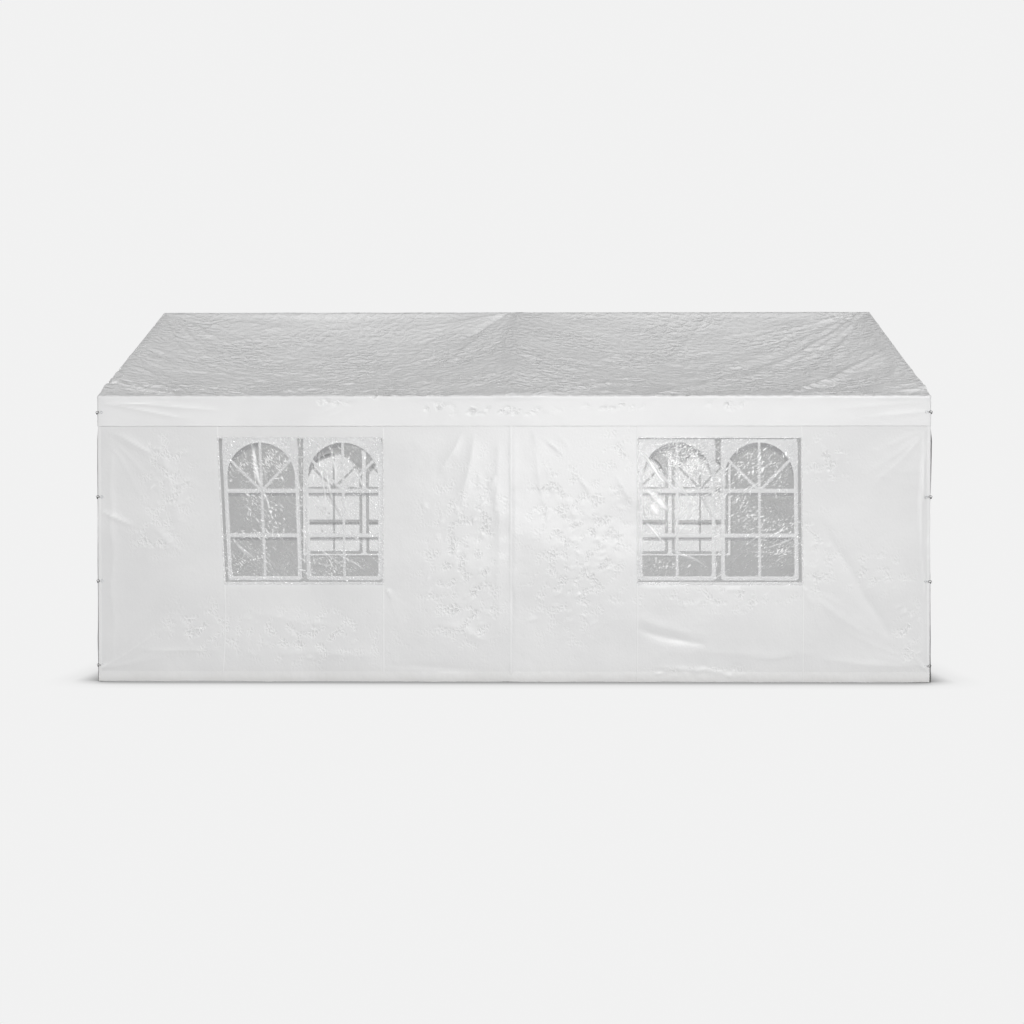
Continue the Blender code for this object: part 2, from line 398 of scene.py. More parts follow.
# puts patches into one mesh object, without the points that no quad uses
def makePiece(name, patches, material, weld=False):
    starts = np.cumsum([0] + [len(patch["points"]) for patch in patches])
    quads = np.concatenate([patch["quads"] + start for patch, start in zip(patches, starts)])
    used, inverse = np.unique(quads, return_inverse=True)
    quads = inverse.reshape(-1, 4).astype(np.int32)
    points, uv, crease, flurry = (
        np.concatenate([patch[key] for patch in patches])[used].astype(np.float32)
        for key in ("points", "uv", "crease", "flurry")
    )
    mesh = bpy.data.meshes.new(name)
    mesh.vertices.add(len(points))
    mesh.vertices.foreach_set("co", points.ravel())
    mesh.loops.add(quads.size)
    mesh.loops.foreach_set("vertex_index", quads.ravel())
    mesh.polygons.add(len(quads))
    mesh.polygons.foreach_set("loop_start", np.arange(0, quads.size, 4, dtype=np.int32))
    mesh.polygons.foreach_set("use_smooth", np.ones(len(quads), bool))
    mesh.update(calc_edges=True)
    mesh.uv_layers.new(name="cloth").data.foreach_set("uv", uv[quads.ravel()].ravel())
    for key, values in (("crease", crease), ("flurry", flurry)):
        mesh.attributes.new(key, "FLOAT", "POINT").data.foreach_set("value", values)
    mesh.validate()
    if weld:
        working = bmesh.new()
        working.from_mesh(mesh)
        bmesh.ops.remove_doubles(working, verts=working.verts, dist=1e-6)
        bmesh.ops.recalc_face_normals(working, faces=working.faces)
        working.to_mesh(mesh)
        working.free()
    mesh.materials.append(material)
    piece = addObject(name, mesh)
    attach(piece, "root")
    return piece


# two unit vectors across an axis, or across each of several axes
def crossAxes(axis, helper):
    across = np.cross(axis, helper)
    across = across / np.linalg.norm(across, axis=-1, keepdims=True)
    return across, np.cross(across, axis)


# the spokes of a wheel: across * cos + upward * sin, at evenly spaced angles
def wheelSpokes(across, upward, sides):
    turn = np.linspace(0, 2 * np.pi, sides, endpoint=False)[:, None]
    return across[..., None, :] * np.cos(turn) + upward[..., None, :] * np.sin(turn)


# a round bar carried along a path, closed at both ends: centre + radius * (cos, sin) across the path
def barAlong(path, radius, sides=10, ring=False):
    path = np.asarray(path, float)
    tangent = np.gradient(path, axis=0)
    if ring:
        tangent = np.roll(path, -1, axis=0) - np.roll(path, 1, axis=0)
    tangent /= np.linalg.norm(tangent, axis=1)[:, None]
    helper = (0.0, 0.0, 1.0) if abs(tangent[:, 2]).max() < 0.9 else (0.31, 0.95, 0.0)
    across, upward = crossAxes(tangent, helper)
    if ring:
        path, across, upward = (np.concatenate([a, a[:1]]) for a in (path, across, upward))
        radii = np.full(len(path), radius)
    else:
        path, across, upward = (np.concatenate([a[:1], a, a[-1:]]) for a in (path, across, upward))
        radii = np.concatenate([[1e-7], np.full(len(path) - 2, radius), [1e-7]])
    spokes = wheelSpokes(across, upward, sides)
    return makePatch(path[:, None] + radii[:, None, None] * spokes, closed=True)


# a turned shape: each (radius, height) of the profile goes round the axis that starts at a place
def turnedShape(profile, place, axis, sides=14):
    axis = np.asarray(axis, float) / np.linalg.norm(axis)
    across, back = crossAxes(axis, (0.0, 0.0, 1.0) if abs(axis[2]) < 0.9 else (1.0, 0.0, 0.0))
    radii, heights = np.array(profile, float).T[:, :, None, None]
    return makePatch(place + radii * wheelSpokes(across, -back, sides) + heights * axis, closed=True)


# Places on a straight band from start to end: w goes across it from -1 to 1. Gives both
# coordinates, w and the run along the band.
def bandPlaces(start, end, width, step, w):
    length = math.hypot(end[0] - start[0], end[1] - start[1])
    t = np.linspace(0, 1, max(2, int(length / step)) + 1)[None, :]
    w = np.asarray(w)[:, None]
    alongX, alongY = (end[0] - start[0]) / length, (end[1] - start[1]) / length
    x = start[0] + t * length * alongX - w * width / 2 * alongY
    y = start[1] + t * length * alongY + w * width / 2 * alongX
    return x, y, w, t * length


# ---- materials


# a node group with a Vector input, number inputs with their values, and number outputs
def newGroup(name, inputs, outputs):
    group = bpy.data.node_groups.new(name, "ShaderNodeTree")
    group.interface.new_socket("Vector", in_out="INPUT", socket_type="NodeSocketVector")
    for key, value in inputs.items():
        made = group.interface.new_socket(key, in_out="INPUT", socket_type="NodeSocketFloat")
        made.default_value = value
    for key in outputs:
        group.interface.new_socket(key, in_out="OUTPUT", socket_type="NodeSocketFloat")
    return group, group.nodes.new("NodeGroupInput").outputs, group.nodes.new("NodeGroupOutput")


# plain weave of flat tapes: sin(pi u / pitch) * sin(pi v / pitch), raised and sunk by turns
def makeWeaveGroup():
    group, given, result = newGroup("tapeWeave", {"Pitch": 0.003}, ["Height"])
    parts = addNode(group, "SeparateXYZ", {0: given["Vector"]}).outputs
    turn = addMath(group, "DIVIDE", math.pi, given["Pitch"])
    waves = [addMath(group, "SINE", addMath(group, "MULTIPLY", parts[axis], turn)) for axis in (0, 1)]
    crossed = addMath(group, "MULTIPLY", *waves)
    feed(group, result, {"Height": addMath(group, "MULTIPLY_ADD", crossed, 0.5, 0.5)})
    return group


crumpleShape = {
    "wobbleScale": 0.9,  # of the noise that bends the cells, in cells
    "wobble": (1.1, 1.1, 0.0),
    "cellScales": (1.0, 2.7),
    "fineDepth": 0.35,
    "crestSharpness": 11.0,
}


# Crumpled sheet of flat facets: the height falls away from the edges of random cells, in two
# sizes, longer along U by Stretch and bent a little by noise. Crest is 1 on the edges themselves.
def makeCrumpleGroup(look):
    group, given, result = newGroup("crumple", {"Cell": 0.05, "Stretch": 2.0}, ["Height", "Crest"])
    across = addMath(group, "DIVIDE", 1.0, given["Cell"])
    along = addMath(group, "DIVIDE", across, given["Stretch"])
    scales = addNode(group, "CombineXYZ", {0: along, 1: across, 2: across}).outputs[0]
    scaled = addVectorMath(group, "MULTIPLY", given["Vector"], scales)
    wobble = addNode(group, "TexNoise", {"Vector": scaled, "Scale": look["wobbleScale"], "Detail": 2.0})
    bent = addVectorMath(group, "MULTIPLY", wobble.outputs["Color"], look["wobble"])
    bent = addVectorMath(group, "ADD", scaled, bent)
    kind = {"voronoi_dimensions": "2D", "feature": "DISTANCE_TO_EDGE"}
    coarse, fine = (
        addNode(group, "TexVoronoi", {"Vector": bent, "Scale": scale}, **kind).outputs["Distance"]
        for scale in look["cellScales"]
    )
    sunk = addMath(group, "MULTIPLY", coarse, -1.0)
    height = addMath(group, "MULTIPLY_ADD", fine, -look["fineDepth"], sunk)
    nearest = addMath(group, "MINIMUM", coarse, fine)
    crest = addMath(group, "MULTIPLY_ADD", nearest, -look["crestSharpness"], 1.0, clamp=True)
    feed(group, result, {"Height": height, "Crest": crest})
    return group


# slow changes of tone, 0 to 1
def makeMottleGroup():
    group, given, result = newGroup("mottle", {"Size": 0.4}, ["Tone"])
    scale = addMath(group, "DIVIDE", 1.0, given["Size"])
    scaled = addNode(group, "VectorMath", {0: given["Vector"], "Scale": scale}, operation="SCALE")
    spread = addMath(group, "SUBTRACT", addNoise(group, scaled.outputs[0], 1.0, 4.0), 0.3)
    feed(group, result, {"Tone": addMath(group, "MULTIPLY", spread, 2.4, clamp=True)})
    return group


# painted shade: darker towards the ground, (1 - height / Reach)^2 broken up by noise
def makeGroundShadeGroup():
    group, given, result = newGroup("paintedGroundShade", {"Reach": 0.5}, ["Mask"])
    parts = addNode(group, "SeparateXYZ", {0: given["Vector"]}).outputs
    level = addMath(group, "DIVIDE", parts[2], given["Reach"])
    low = addMath(group, "POWER", addMath(group, "SUBTRACT", 1.0, level, clamp=True), 2.0)
    patchy = addNoise(group, given["Vector"], 5.0, 5.0)
    feed(group, result, {"Mask": addMath(group, "MULTIPLY", low, patchy, clamp=True)})
    return group


weaveGroup = makeWeaveGroup()
crumpleGroup = makeCrumpleGroup(crumpleShape)
mottleGroup = makeMottleGroup()
groundShadeGroup = makeGroundShadeGroup()


def placeGroup(tree, group, vector, **values):
    return addNode(tree, "Group", {"Vector": vector, **values}, node_tree=group).outputs


def startMaterial(name):
    material = bpy.data.materials.new(name)
    material.use_nodes = True
    tree = material.node_tree
    tree.nodes.clear()
    shader = addNode(tree, "BsdfPrincipled")
    surface = addNode(tree, "OutputMaterial", {0: shader.outputs[0]})
    return material, tree, shader, surface, addNode(tree, "TexCoord").outputs


def blendColours(tree, factor, first, second):
    first, second = (value + (1,) if isinstance(value, tuple) else value for value in (first, second))
    return addNode(tree, "Mix", {0: factor, 6: first, 7: second}, data_type="RGBA").outputs[2]


def readAttribute(tree, name):
    return addNode(tree, "Attribute", attribute_name=name).outputs["Fac"]


def addBump(tree, height, distance, **below):
    inputs = {"Strength": 1.0, "Distance": distance, "Height": height, **below}
    return addNode(tree, "Bump", inputs).outputs[0]


roofFinish = {
    "colour": (0.825, 0.825, 0.825),
    "shade": (0.78, 0.78, 0.782),
    "mottleSize": 0.45,
    "creaseAndGlintColour": (0.97, 0.97, 0.97),
    "groundShade": (0.60, 0.585, 0.56),
    "groundShadeReach": 0.01,
    "roughness": 0.42,
    "roughSpread": 0.14,
    "coat": 0.18,
    "coatRoughness": 0.30,
    "letsThrough": 0.14,
    "throughColour": (0.95, 0.95, 0.94, 1),
    "crumpleCell": 0.072,
    "crumpleStretch": 1.25,
    "crumpleDepth": 0.024,
    "crumpleEverywhere": 0.02,
    "weavePitch": 0.003,
    "weaveDepth": 0.00008,
}
wallFinish = dict(
    roofFinish,
    colour=(0.795, 0.795, 0.795),
    shade=(0.76, 0.76, 0.762),
    creaseAndGlintColour=(0.99, 0.99, 0.99),
    groundShade=(0.72, 0.71, 0.69),
    groundShadeReach=0.16,
    roughness=0.40,
    coat=0.40,
    coatRoughness=0.20,
    letsThrough=0.19,
    crumpleCell=0.034,
    crumpleStretch=0.8,
    crumpleDepth=0.010,
    crumpleEverywhere=0.05,
)
trimFinish = dict(wallFinish, colour=(0.805, 0.805, 0.805), shade=(0.78, 0.78, 0.782))
frameFinish = dict(wallFinish, colour=(0.82, 0.82, 0.825), shade=(0.77, 0.77, 0.775), coat=0.25)


# woven tarpaulin: mottled, pale on its creases and crumple crests (stress whitening with painted glints),
# darker towards the ground (painted shade), crumpled where the flurry is, and a little see-through
def makeCloth(name, look):
    material, tree, shader, surface, place = startMaterial(name)
    uv, where = place["UV"], place["Object"]
    mottle = placeGroup(tree, mottleGroup, where, Size=look["mottleSize"])["Tone"]
    groundShade = placeGroup(tree, groundShadeGroup, where, Reach=look["groundShadeReach"])["Mask"]
    crumple = placeGroup(tree, crumpleGroup, uv, Cell=look["crumpleCell"], Stretch=look["crumpleStretch"])
    weave = placeGroup(tree, weaveGroup, uv, Pitch=look["weavePitch"])["Height"]
    crease, flurry = readAttribute(tree, "crease"), readAttribute(tree, "flurry")
    tone = blendColours(tree, mottle, look["shade"], look["colour"])
    # the crests are paled towards the crease colour: partly stress whitening of the cloth, partly painted
    # glints
    marks = addMath(tree, "MAXIMUM", crease, addMath(tree, "MULTIPLY", crumple["Crest"], flurry))
    tone = blendColours(tree, marks, tone, look["creaseAndGlintColour"])
    amount = addMath(tree, "ADD", flurry, look["crumpleEverywhere"])
    normal = addBump(tree, addMath(tree, "MULTIPLY", crumple["Height"], amount), look["crumpleDepth"])
    normal = addBump(tree, weave, look["weaveDepth"], Normal=normal)
    spread = look["roughSpread"]
    # the base colour is darker towards the ground: painted shade at the foot of the cloth
    finish = {
        "Base Color": blendColours(tree, groundShade, tone, look["groundShade"]),
        "Roughness": addMath(tree, "MULTIPLY_ADD", mottle, spread, look["roughness"] - spread / 2),
        "Coat Weight": look["coat"],
        "Coat Roughness": look["coatRoughness"],
        "Normal": normal,
    }
    feed(tree, shader, finish)
    through = addNode(tree, "BsdfTranslucent", {"Color": look["throughColour"], "Normal": normal})
    mix = addNode(tree, "MixShader", {0: look["letsThrough"], 1: shader.outputs[0], 2: through.outputs[0]})
    feed(tree, surface, {0: mix.outputs[0]})
    return material


filmFinish = {
    "colour": (0.76, 0.765, 0.77),
    "whiteAndGlareColour": (0.97, 0.97, 0.97),
    "haze": 0.28,
    "creaseHazeAndGlare": 0.95,
    "cloudHaze": 0.05,
    "cloudSize": 0.25,
    "roughness": 0.12,
    "coat": 0.6,
    "coatRoughness": 0.06,
    "speckScale": (42.0, 120.0, 0.0),  # specks a metre, along and across the film's creases
    "speckDensity": 0.125,
    "speckLimit": 0.76,  # the noise that a speck needs, where nothing is creased
    "speckSharpness": 22.0,
    "glitter": 0.16,
    "crumpleCell": 0.018,
    "crumpleStretch": 2.2,
    "crumpleDepth": 0.0060,
    "crumpleEverywhere": 0.3,
}


# clear film: hazy, and white on its creases, on fine specks and on the crests of its crumple; the white is
# partly the film's crease whitening and partly painted glare and glints
def makeFilm(name, look):
    material, tree, shader, _, place = startMaterial(name)
    uv = place["UV"]
    crumple = placeGroup(tree, crumpleGroup, uv, Cell=look["crumpleCell"], Stretch=look["crumpleStretch"])
    mottle = placeGroup(tree, mottleGroup, place["Object"], Size=look["cloudSize"])["Tone"]
    crease, flurry = readAttribute(tree, "crease"), readAttribute(tree, "flurry")
    fine = addNoise(tree, addVectorMath(tree, "MULTIPLY", uv, look["speckScale"]), 1.0, 2.0)
    dense = addMath(tree, "MULTIPLY_ADD", flurry, look["speckDensity"], -look["speckLimit"])
    above = addMath(tree, "ADD", fine, dense)
    glintSpecks = addMath(tree, "MULTIPLY", above, look["speckSharpness"], clamp=True)
    glitter = addMath(tree, "MULTIPLY", crumple["Crest"], addMath(tree, "MULTIPLY", flurry, look["glitter"]))
    # white marks on creases, specks and crumple crests: partly crease whitening of the film, partly painted
    # glare and glints
    marks = addMath(tree, "MAXIMUM", crease, addMath(tree, "MAXIMUM", glitter, glintSpecks))
    haze = addMath(tree, "MULTIPLY_ADD", marks, look["creaseHazeAndGlare"], look["haze"])
    amount = addMath(tree, "ADD", flurry, look["crumpleEverywhere"])
    crumpled = addMath(tree, "MULTIPLY", crumple["Height"], amount)
    finish = {
        "Base Color": blendColours(tree, marks, look["colour"], look["whiteAndGlareColour"]),
        "Alpha": addMath(tree, "MULTIPLY_ADD", mottle, look["cloudHaze"], haze, clamp=True),
        "Roughness": look["roughness"],
        "Coat Weight": look["coat"],
        "Coat Roughness": look["coatRoughness"],
        "Normal": addBump(tree, crumpled, look["crumpleDepth"]),
    }
    feed(tree, shader, finish)
    return material


shadeFinish = {
    "colour": (0.07, 0.07, 0.075),
    "paleColour": (0.24, 0.24, 0.25),
    "mottleSize": 0.12,
    "cover": 0.92,
    "roughness": 0.35,
}


# painted shade under the bars and along the arch: a dark see-through band, as strong as the crease attribute
# says
def makePaintedShade(name, look):
    material, tree, shader, _, place = startMaterial(name)
    mottle = placeGroup(tree, mottleGroup, place["Object"], Size=look["mottleSize"])["Tone"]
    cover = addMath(tree, "MULTIPLY_ADD", mottle, 0.12, look["cover"])
    finish = {
        "Base Color": blendColours(tree, mottle, look["colour"], look["paleColour"]),
        "Alpha": addMath(tree, "MULTIPLY", cover, readAttribute(tree, "crease"), clamp=True),
        "Roughness": look["roughness"],
    }
    feed(tree, shader, finish)
    return material


tubeFinish = {"colour": (0.72, 0.73, 0.74), "worn": (0.50, 0.51, 0.52), "metal": 0.25, "roughness": 0.38}
connectorFinish = {"colour": (0.60, 0.61, 0.62), "worn": (0.42, 0.43, 0.45), "metal": 0.9, "roughness": 0.42}
darkFinish = {"colour": (0.05, 0.05, 0.052), "worn": (0.12, 0.12, 0.12), "metal": 0.0, "roughness": 0.5}
hardShape = {
    "spotSizes": (0.05, 0.35),
    "groundShade": (0.45, 0.42, 0.38),
    "groundShadeReach": 0.25,
    "roughSpread": 0.25,
    "grainScale": 260.0,
    "grainDepth": 0.00015,
}


# metal or rubber with cloudy tone, fine grain, and painted shade near the ground
def makeHard(name, look, shape):
    material, tree, shader, _, place = startMaterial(name)
    where = place["Object"]
    spots = [placeGroup(tree, mottleGroup, where, Size=size)["Tone"] for size in shape["spotSizes"]]
    both = addMath(tree, "MULTIPLY", *spots)
    groundShade = placeGroup(tree, groundShadeGroup, where, Reach=shape["groundShadeReach"])["Mask"]
    tone = blendColours(tree, both, look["colour"], look["worn"])
    finish = {
        "Base Color": blendColours(tree, groundShade, tone, shape["groundShade"]),
        "Roughness": addMath(tree, "MULTIPLY_ADD", both, shape["roughSpread"], look["roughness"]),
        "Metallic": look["metal"],
        "Normal": addBump(tree, addNoise(tree, where, shape["grainScale"], 3.0), shape["grainDepth"]),
    }
    feed(tree, shader, finish)
    return material


roofCloth = makeCloth("roofTarpaulin", roofFinish)
wallCloth = makeCloth("wallTarpaulin", wallFinish)
trimCloth = makeCloth("weldedTrim", trimFinish)
frameCloth = makeCloth("windowPattern", frameFinish)
clearFilm = makeFilm("clearFilm", filmFinish)
paintedShadeFilm = makePaintedShade("paintedBarShade", shadeFinish)
tubeSteel = makeHard("paintedTube", tubeFinish, hardShape)
connectorSteel = makeHard("galvanisedSteel", connectorFinish, hardShape)
darkRubber = makeHard("darkRubber", darkFinish, hardShape)
print("stage: materials")

# ---- roof cover: slopes with their valances, and gable ends

roofShape = {
    "insideSkin": 0.0012,  # how far the cloth lies inside the solid's outer face
    "insideEnd": 0.0008,
    "ridgeRound": 0.024,
    "eaveRound": 0.018,
    "endRound": 0.012,
    "endTail": 0.013,
    "steps": {-1: (0.0185, 0.0100), 1: (0.024, 0.017)},  # along the tent and down the slope, front and back
    "fineSteps": (0.0045, 0.005),  # at the turned ends and round the eave
    "foldScale": 2.6,
    "wander": (0.030, 0.035, 0.45, 0.40, 0.35, 9),
    "crinkles": ((0.0060, 0.27, 0.18, 2), (0.0026, 0.115, 0.085, 4)),  # height, length, width, seed
    "wave": (0.007, 0.55, 0.32),  # height, length, width
    "pocketPlace": (0.15, 0.30, 0.085),  # above the eave, and its reach up and down from there
    "pocketWave": (0.008, 0.26, 0.4),  # height, length, width
    "eavePucker": (0.0035, 0.16, 0.035),  # height, length, reach
    "middleHump": (0.010, 0.05, 0.42, 0.05, 0.06),  # height, x and reach, height above the eave and reach
    "cornerHumps": ((-1, 0.014), (1, 0.010)),
    "cornerReach": (0.40, 0.22, 0.11),  # along, above the eave, and down
    "rafterRise": (0.006, 0.012),  # height and reach, over the middle rafter
    "swag": 0.35,  # how far the wrinkles of a bay hang lower in its middle
    "smoothRidge": (0.55, 0.3, 1.5),  # share of the wrinkles lost at the ridge, and where they grow back
    "valanceSwing": (0.006, 0.8, 0.5),
    "valanceWave": (0.0016, 0.20, 0.30),
    "valanceCalm": 0.55,  # share of the slope's folds that the valance loses
    "creaseGain": 0.012,
    "flurry": (0.34, 0.40, 0.5, 0.4, -0.5, 0.5),
    "glint": (1.2, 0.08),  # strength and size of the valance's crumpled clumps
    "ridgeRise": (0.0015, 0.0025, 0.004),
    "room": (0.0002, 0.180, 0.003),  # below the cloth at the tubes, more away from them, and blend
    "strewn": (0.17, 0.015, 0.0085),  # length, width and height of the small creases
}
pitch = math.atan((roofBox[1].z - valanceBox[1].z) / abs(valanceBox[0].y))
valanceFoot = valanceBox[0].z


# The cloth's angle below level is 0 on the ridge, the pitch on the slope and a right angle on the
# valance. Its place is the running sum of that angle's cosine and sine. Gives s, y, z and the angle.
def roofProfile(look, step=0.001):
    bend = look["ridgeRound"] * pitch
    curl = look["eaveRound"] * (math.pi / 2 - pitch)
    reach = abs(valanceBox[0].y) - look["insideSkin"]
    across = look["ridgeRound"] * math.sin(pitch) + look["eaveRound"] * (1 - math.sin(pitch))
    slope = (reach - across) / math.cos(pitch)
    top = roofBox[1].z - look["insideSkin"] / math.cos(pitch)
    top -= look["ridgeRound"] * (1 / math.cos(pitch) - 1)
    drop = look["ridgeRound"] * (1 - math.cos(pitch)) + slope * math.sin(pitch)
    drop += look["eaveRound"] * math.cos(pitch)
    stops = np.cumsum([0, bend, slope, curl, top - drop - valanceFoot])
    s = np.arange(0, stops[-1] + step, step)
    angle = np.interp(s, stops, [0, pitch, pitch, math.pi / 2, math.pi / 2])
    middle = angle[:-1] + np.diff(angle) / 2
    y = np.concatenate([[0], np.cumsum(np.cos(middle) * step)])
    z = top - np.concatenate([[0], np.cumsum(np.sin(middle) * step)])
    return {"stops": stops, "s": s, "y": y, "z": z, "angle": angle}


profile = roofProfile(roofShape)
eaveStart, eaveEnd, clothEnd = profile["stops"][2:5]

frontRoofFolds = {
    "sag": ((0.150, 0.95), (0.118, 0.95)),  # depth and lean towards the eave, left and right bay
    # from (x, s) to (x, s), width, height, where s runs down the slope from the ridge
    "long": [
        (2.99, 0.02, 1.45, 1.9, 0.05, 0.021), (2.97, 0.1, 1.6, 2.0, 0.036, 0.013),
        (2.96, 0.15, 2.1, 1.8, 0.034, 0.012), (2.96, 0.04, 1.1, 1.7, 0.036, 0.013),
        (2.92, 0.08, 1.3, 1.36, 0.03, 0.01), (2.97, 0.02, 1.75, 0.62, 0.028, 0.008),
        (3.0, 0.93, 2.25, 1.8, 0.044, 0.019), (3.0, 1.02, 2.6, 1.5, 0.028, 0.012),
        (-0.07, 0.02, -0.46, 0.72, 0.075, -0.034), (-0.03, 0.0, -0.66, 1.45, 0.04, 0.018),
        (-0.03, 0.05, -0.36, 1.25, 0.026, 0.009), (0.0, 0.0, 0.11, 0.75, 0.03, 0.012),
        (-2.99, 0.01, -2.3, 1.15, 0.04, 0.014), (-2.99, 0.01, -2.35, 0.64, 0.03, 0.01),
        (-2.97, 0.12, -2.5, 1.36, 0.036, 0.012), (-3.01, 1.81, -2.1, 2.16, 0.024, 0.009),
    ],
    "short": [
        (1.05, 2.12, 1.72, 1.38, 0.036, 0.013), (1.96, 2.18, 2.72, 1.18, 0.038, 0.016),
        (0.14, 2.14, 0.8, 1.68, 0.034, 0.014), (0.25, 2.1, 1.0, 1.98, 0.026, 0.009),
        (1.66, 0.05, 1.48, 0.4, 0.024, 0.008), (1.5, 0.36, 1.2, 1.1, 0.026, 0.008),
        (-3.02, 1.77, -2.88, 2.14, 0.018, -0.012), (-2.96, 1.72, -2.45, 1.87, 0.02, 0.006),
        (-3.0, 1.3, -2.7, 1.62, 0.024, 0.01), (-3.0, 0.82, -2.74, 1.02, 0.02, 0.009),
        (-3.0, 1.05, -2.78, 1.22, 0.02, 0.008), (2.99, 2.0, 2.7, 2.1, 0.014, 0.005),
        (2.99, 1.25, 2.88, 1.62, 0.016, 0.01), (2.99, 0.72, 2.9, 0.98, 0.016, 0.008),
    ],
    "pockets": [
        (-2.3, 0.22, 0.016), (-1.99, 0.1, 0.016), (-1.55, 0.1, 0.02), (-1.36, 0.11, 0.022),
        (-1.12, 0.1, 0.016), (-0.62, 0.13, 0.016), (-1.5, 0.95, 0.019),
    ],
    "fans": [
        ((-2.96, 0.03), (8, 62), 9, (0.5, 1.5), 0.024, 0.006, 21),
        ((2.96, 0.03), (118, 165), 12, (1.0, 2.4), 0.020, 0.006, 22),
        ((-0.02, 0.02), (100, 165), 10, (0.6, 1.5), 0.024, 0.006, 23),
        ((0.02, 0.02), (20, 75), 6, (0.4, 1.0), 0.022, 0.004, 24),
        ((-2.97, 1.84), (-12, 38), 8, (0.5, 1.3), 0.018, 0.0045, 25),
        ((2.98, 2.04), (178, 200), 5, (0.3, 0.9), 0.016, 0.0035, 26),
    ],
    "seed": 30,
}
backRoofFolds = {
    "sag": ((0.115, 1.0), (0.130, 1.0)),
    "long": [(-2.95, 0.05, -1.2, 1.9, 0.030, 0.009), (-2.95, 0.06, -1.7, 2.0, 0.028, 0.009)],
    "short": [(2.4, 2.0, 2.97, 1.75, 0.024, 0.010), (-0.04, 0.02, -0.12, 0.6, 0.022, 0.009)],
    "pockets": [(1.7, 0.12, 0.016), (-0.9, 0.12, 0.014)],
    "fans": [
        ((-2.96, 0.03), (10, 58), 12, (0.9, 2.2), 0.024, 0.006, 41),
        ((2.96, 0.03), (118, 170), 10, (0.6, 1.7), 0.026, 0.007, 42),
        ((-0.02, 0.02), (105, 160), 7, (0.6, 1.3), 0.024, 0.005, 43),
        ((0.02, 0.02), (20, 75), 8, (0.5, 1.4), 0.024, 0.006, 44),
        ((-2.97, 1.90), (-12, 30), 6, (0.4, 1.0), 0.020, 0.006, 45),
        ((2.98, 1.92), (165, 195), 7, (0.4, 1.1), 0.020, 0.006, 46),
    ],
    "seed": 50,
}


# How far the cloth stands off its profile: it hangs as 4u(1-u) between the rafters and as
# 4w(1-w) with w = v^lean down the slope, with folds, wrinkles that follow the sag, and waves
# in the valance.
def roofField(x, s, folds, seed, look):
    half = abs(roofBox[0].x)
    bay = np.clip(np.abs(x) / half, 0, 1)
    down = np.clip(s / eaveStart, 0, 1)
    onSlope = 1 - ease(s, eaveStart - 0.03, eaveEnd)
    onValance = ease(s, eaveEnd, eaveEnd + 0.05)
    (leftSag, leftLean), (rightSag, rightLean) = folds["sag"]
    lean = np.where(x < 0, leftLean, rightLean)
    out = -np.where(x < 0, leftSag, rightSag) * 4 * bay * (1 - bay) * 4 * down**lean * (1 - down**lean)
    warpX, warpS = wander(x, s, *look["wander"], seed)
    creases = foldHeight(warpX, warpS, folds["long"], fromStart=True)
    creases += foldHeight(warpX, warpS, folds["short"])
    addFans(creases, warpX, warpS, folds["fans"])
    out += look["foldScale"] * creases
    middle = np.where(x < 0, -half / 2, half / 2)
    swag = s + look["swag"] * ((x - middle) / (half / 2)) ** 2
    smooth, growStart, growEnd = look["smoothRidge"]
    rough = (1 - smooth) + smooth * ease(s, growStart, growEnd)
    for height, long, wide, step in look["crinkles"]:
        out += height * rough * crinkle(warpX / long, swag / wide, seed + step) * onSlope
    out += noiseWave(x, s, *look["wave"], seed + 6) * onSlope
    above, reachUp, reachDown = look["pocketPlace"]
    fromPocket = s - eaveStart + above
    pocket = hump(fromPocket, np.where(fromPocket < 0, reachUp, reachDown))
    out += noiseWave(x, s, *look["pocketWave"], seed + 7) * pocket
    for pocketX, reach, deep in folds["pockets"]:
        out -= deep * hump(x - pocketX, reach) * pocket
    height, long, reach = look["eavePucker"]
    curve = hump(s - (eaveStart + eaveEnd) / 2, reach)
    out += height * (0.5 + 0.5 * ripple(x / long, s / 0.4, seed + 11)) * curve
    height, middleX, reachX, above, reachS = look["middleHump"]
    out += height * hump(x - middleX, reachX) * hump(s - eaveStart + above, reachS)
    reachX, above, reachS = look["cornerReach"]
    for way, height in look["cornerHumps"]:
        out += height * (hump(x - way * half, reachX) * hump(s - eaveStart + above, reachS))
    height, reach = look["rafterRise"]
    out += height * hump(np.abs(x - 0.012 * np.sin(9 * s)), reach) * onSlope
    height, long, wide = look["valanceSwing"]
    swing = height * (0.5 + 0.5 * ripple(x / long, s / wide, seed + 8))
    swing += noiseWave(x, s, *look["valanceWave"], seed + 9)
    out = out * (1 - look["valanceCalm"] * onValance) + swing * onValance * ease(s, eaveEnd, clothEnd)
    level, wave, rise = look["ridgeRise"]
    ridge = level + wave * ripple(x / 0.3, 0 * x, 70) + rise * hump(x - 0.04, 0.05)
    near = ease(s, 0.0, 0.10)
    return out * near + ridge * (1 - near)


# The cloth can't sink into what carries it. Its room below is small over the ridge, the eaves and the
# rafters, and grows away from them. Near that limit the field levels off: (d + sqrt(d^2 + w^2)) / 2.
def keepOffTubes(x, s, field):
    half = abs(roofBox[0].x)
    besideRafter = np.minimum(np.abs(x), half - 0.03 - np.abs(x))
    besidePurlin = np.minimum(s, eaveStart - s)
    least, more, blend = roofShape["room"]
    room = least + more * ease(besideRafter, 0.02, 0.40) * ease(besidePurlin, 0.0, 0.10)
    above = field + room
    return 0.5 * (above + np.sqrt(above**2 + blend**2)) - room


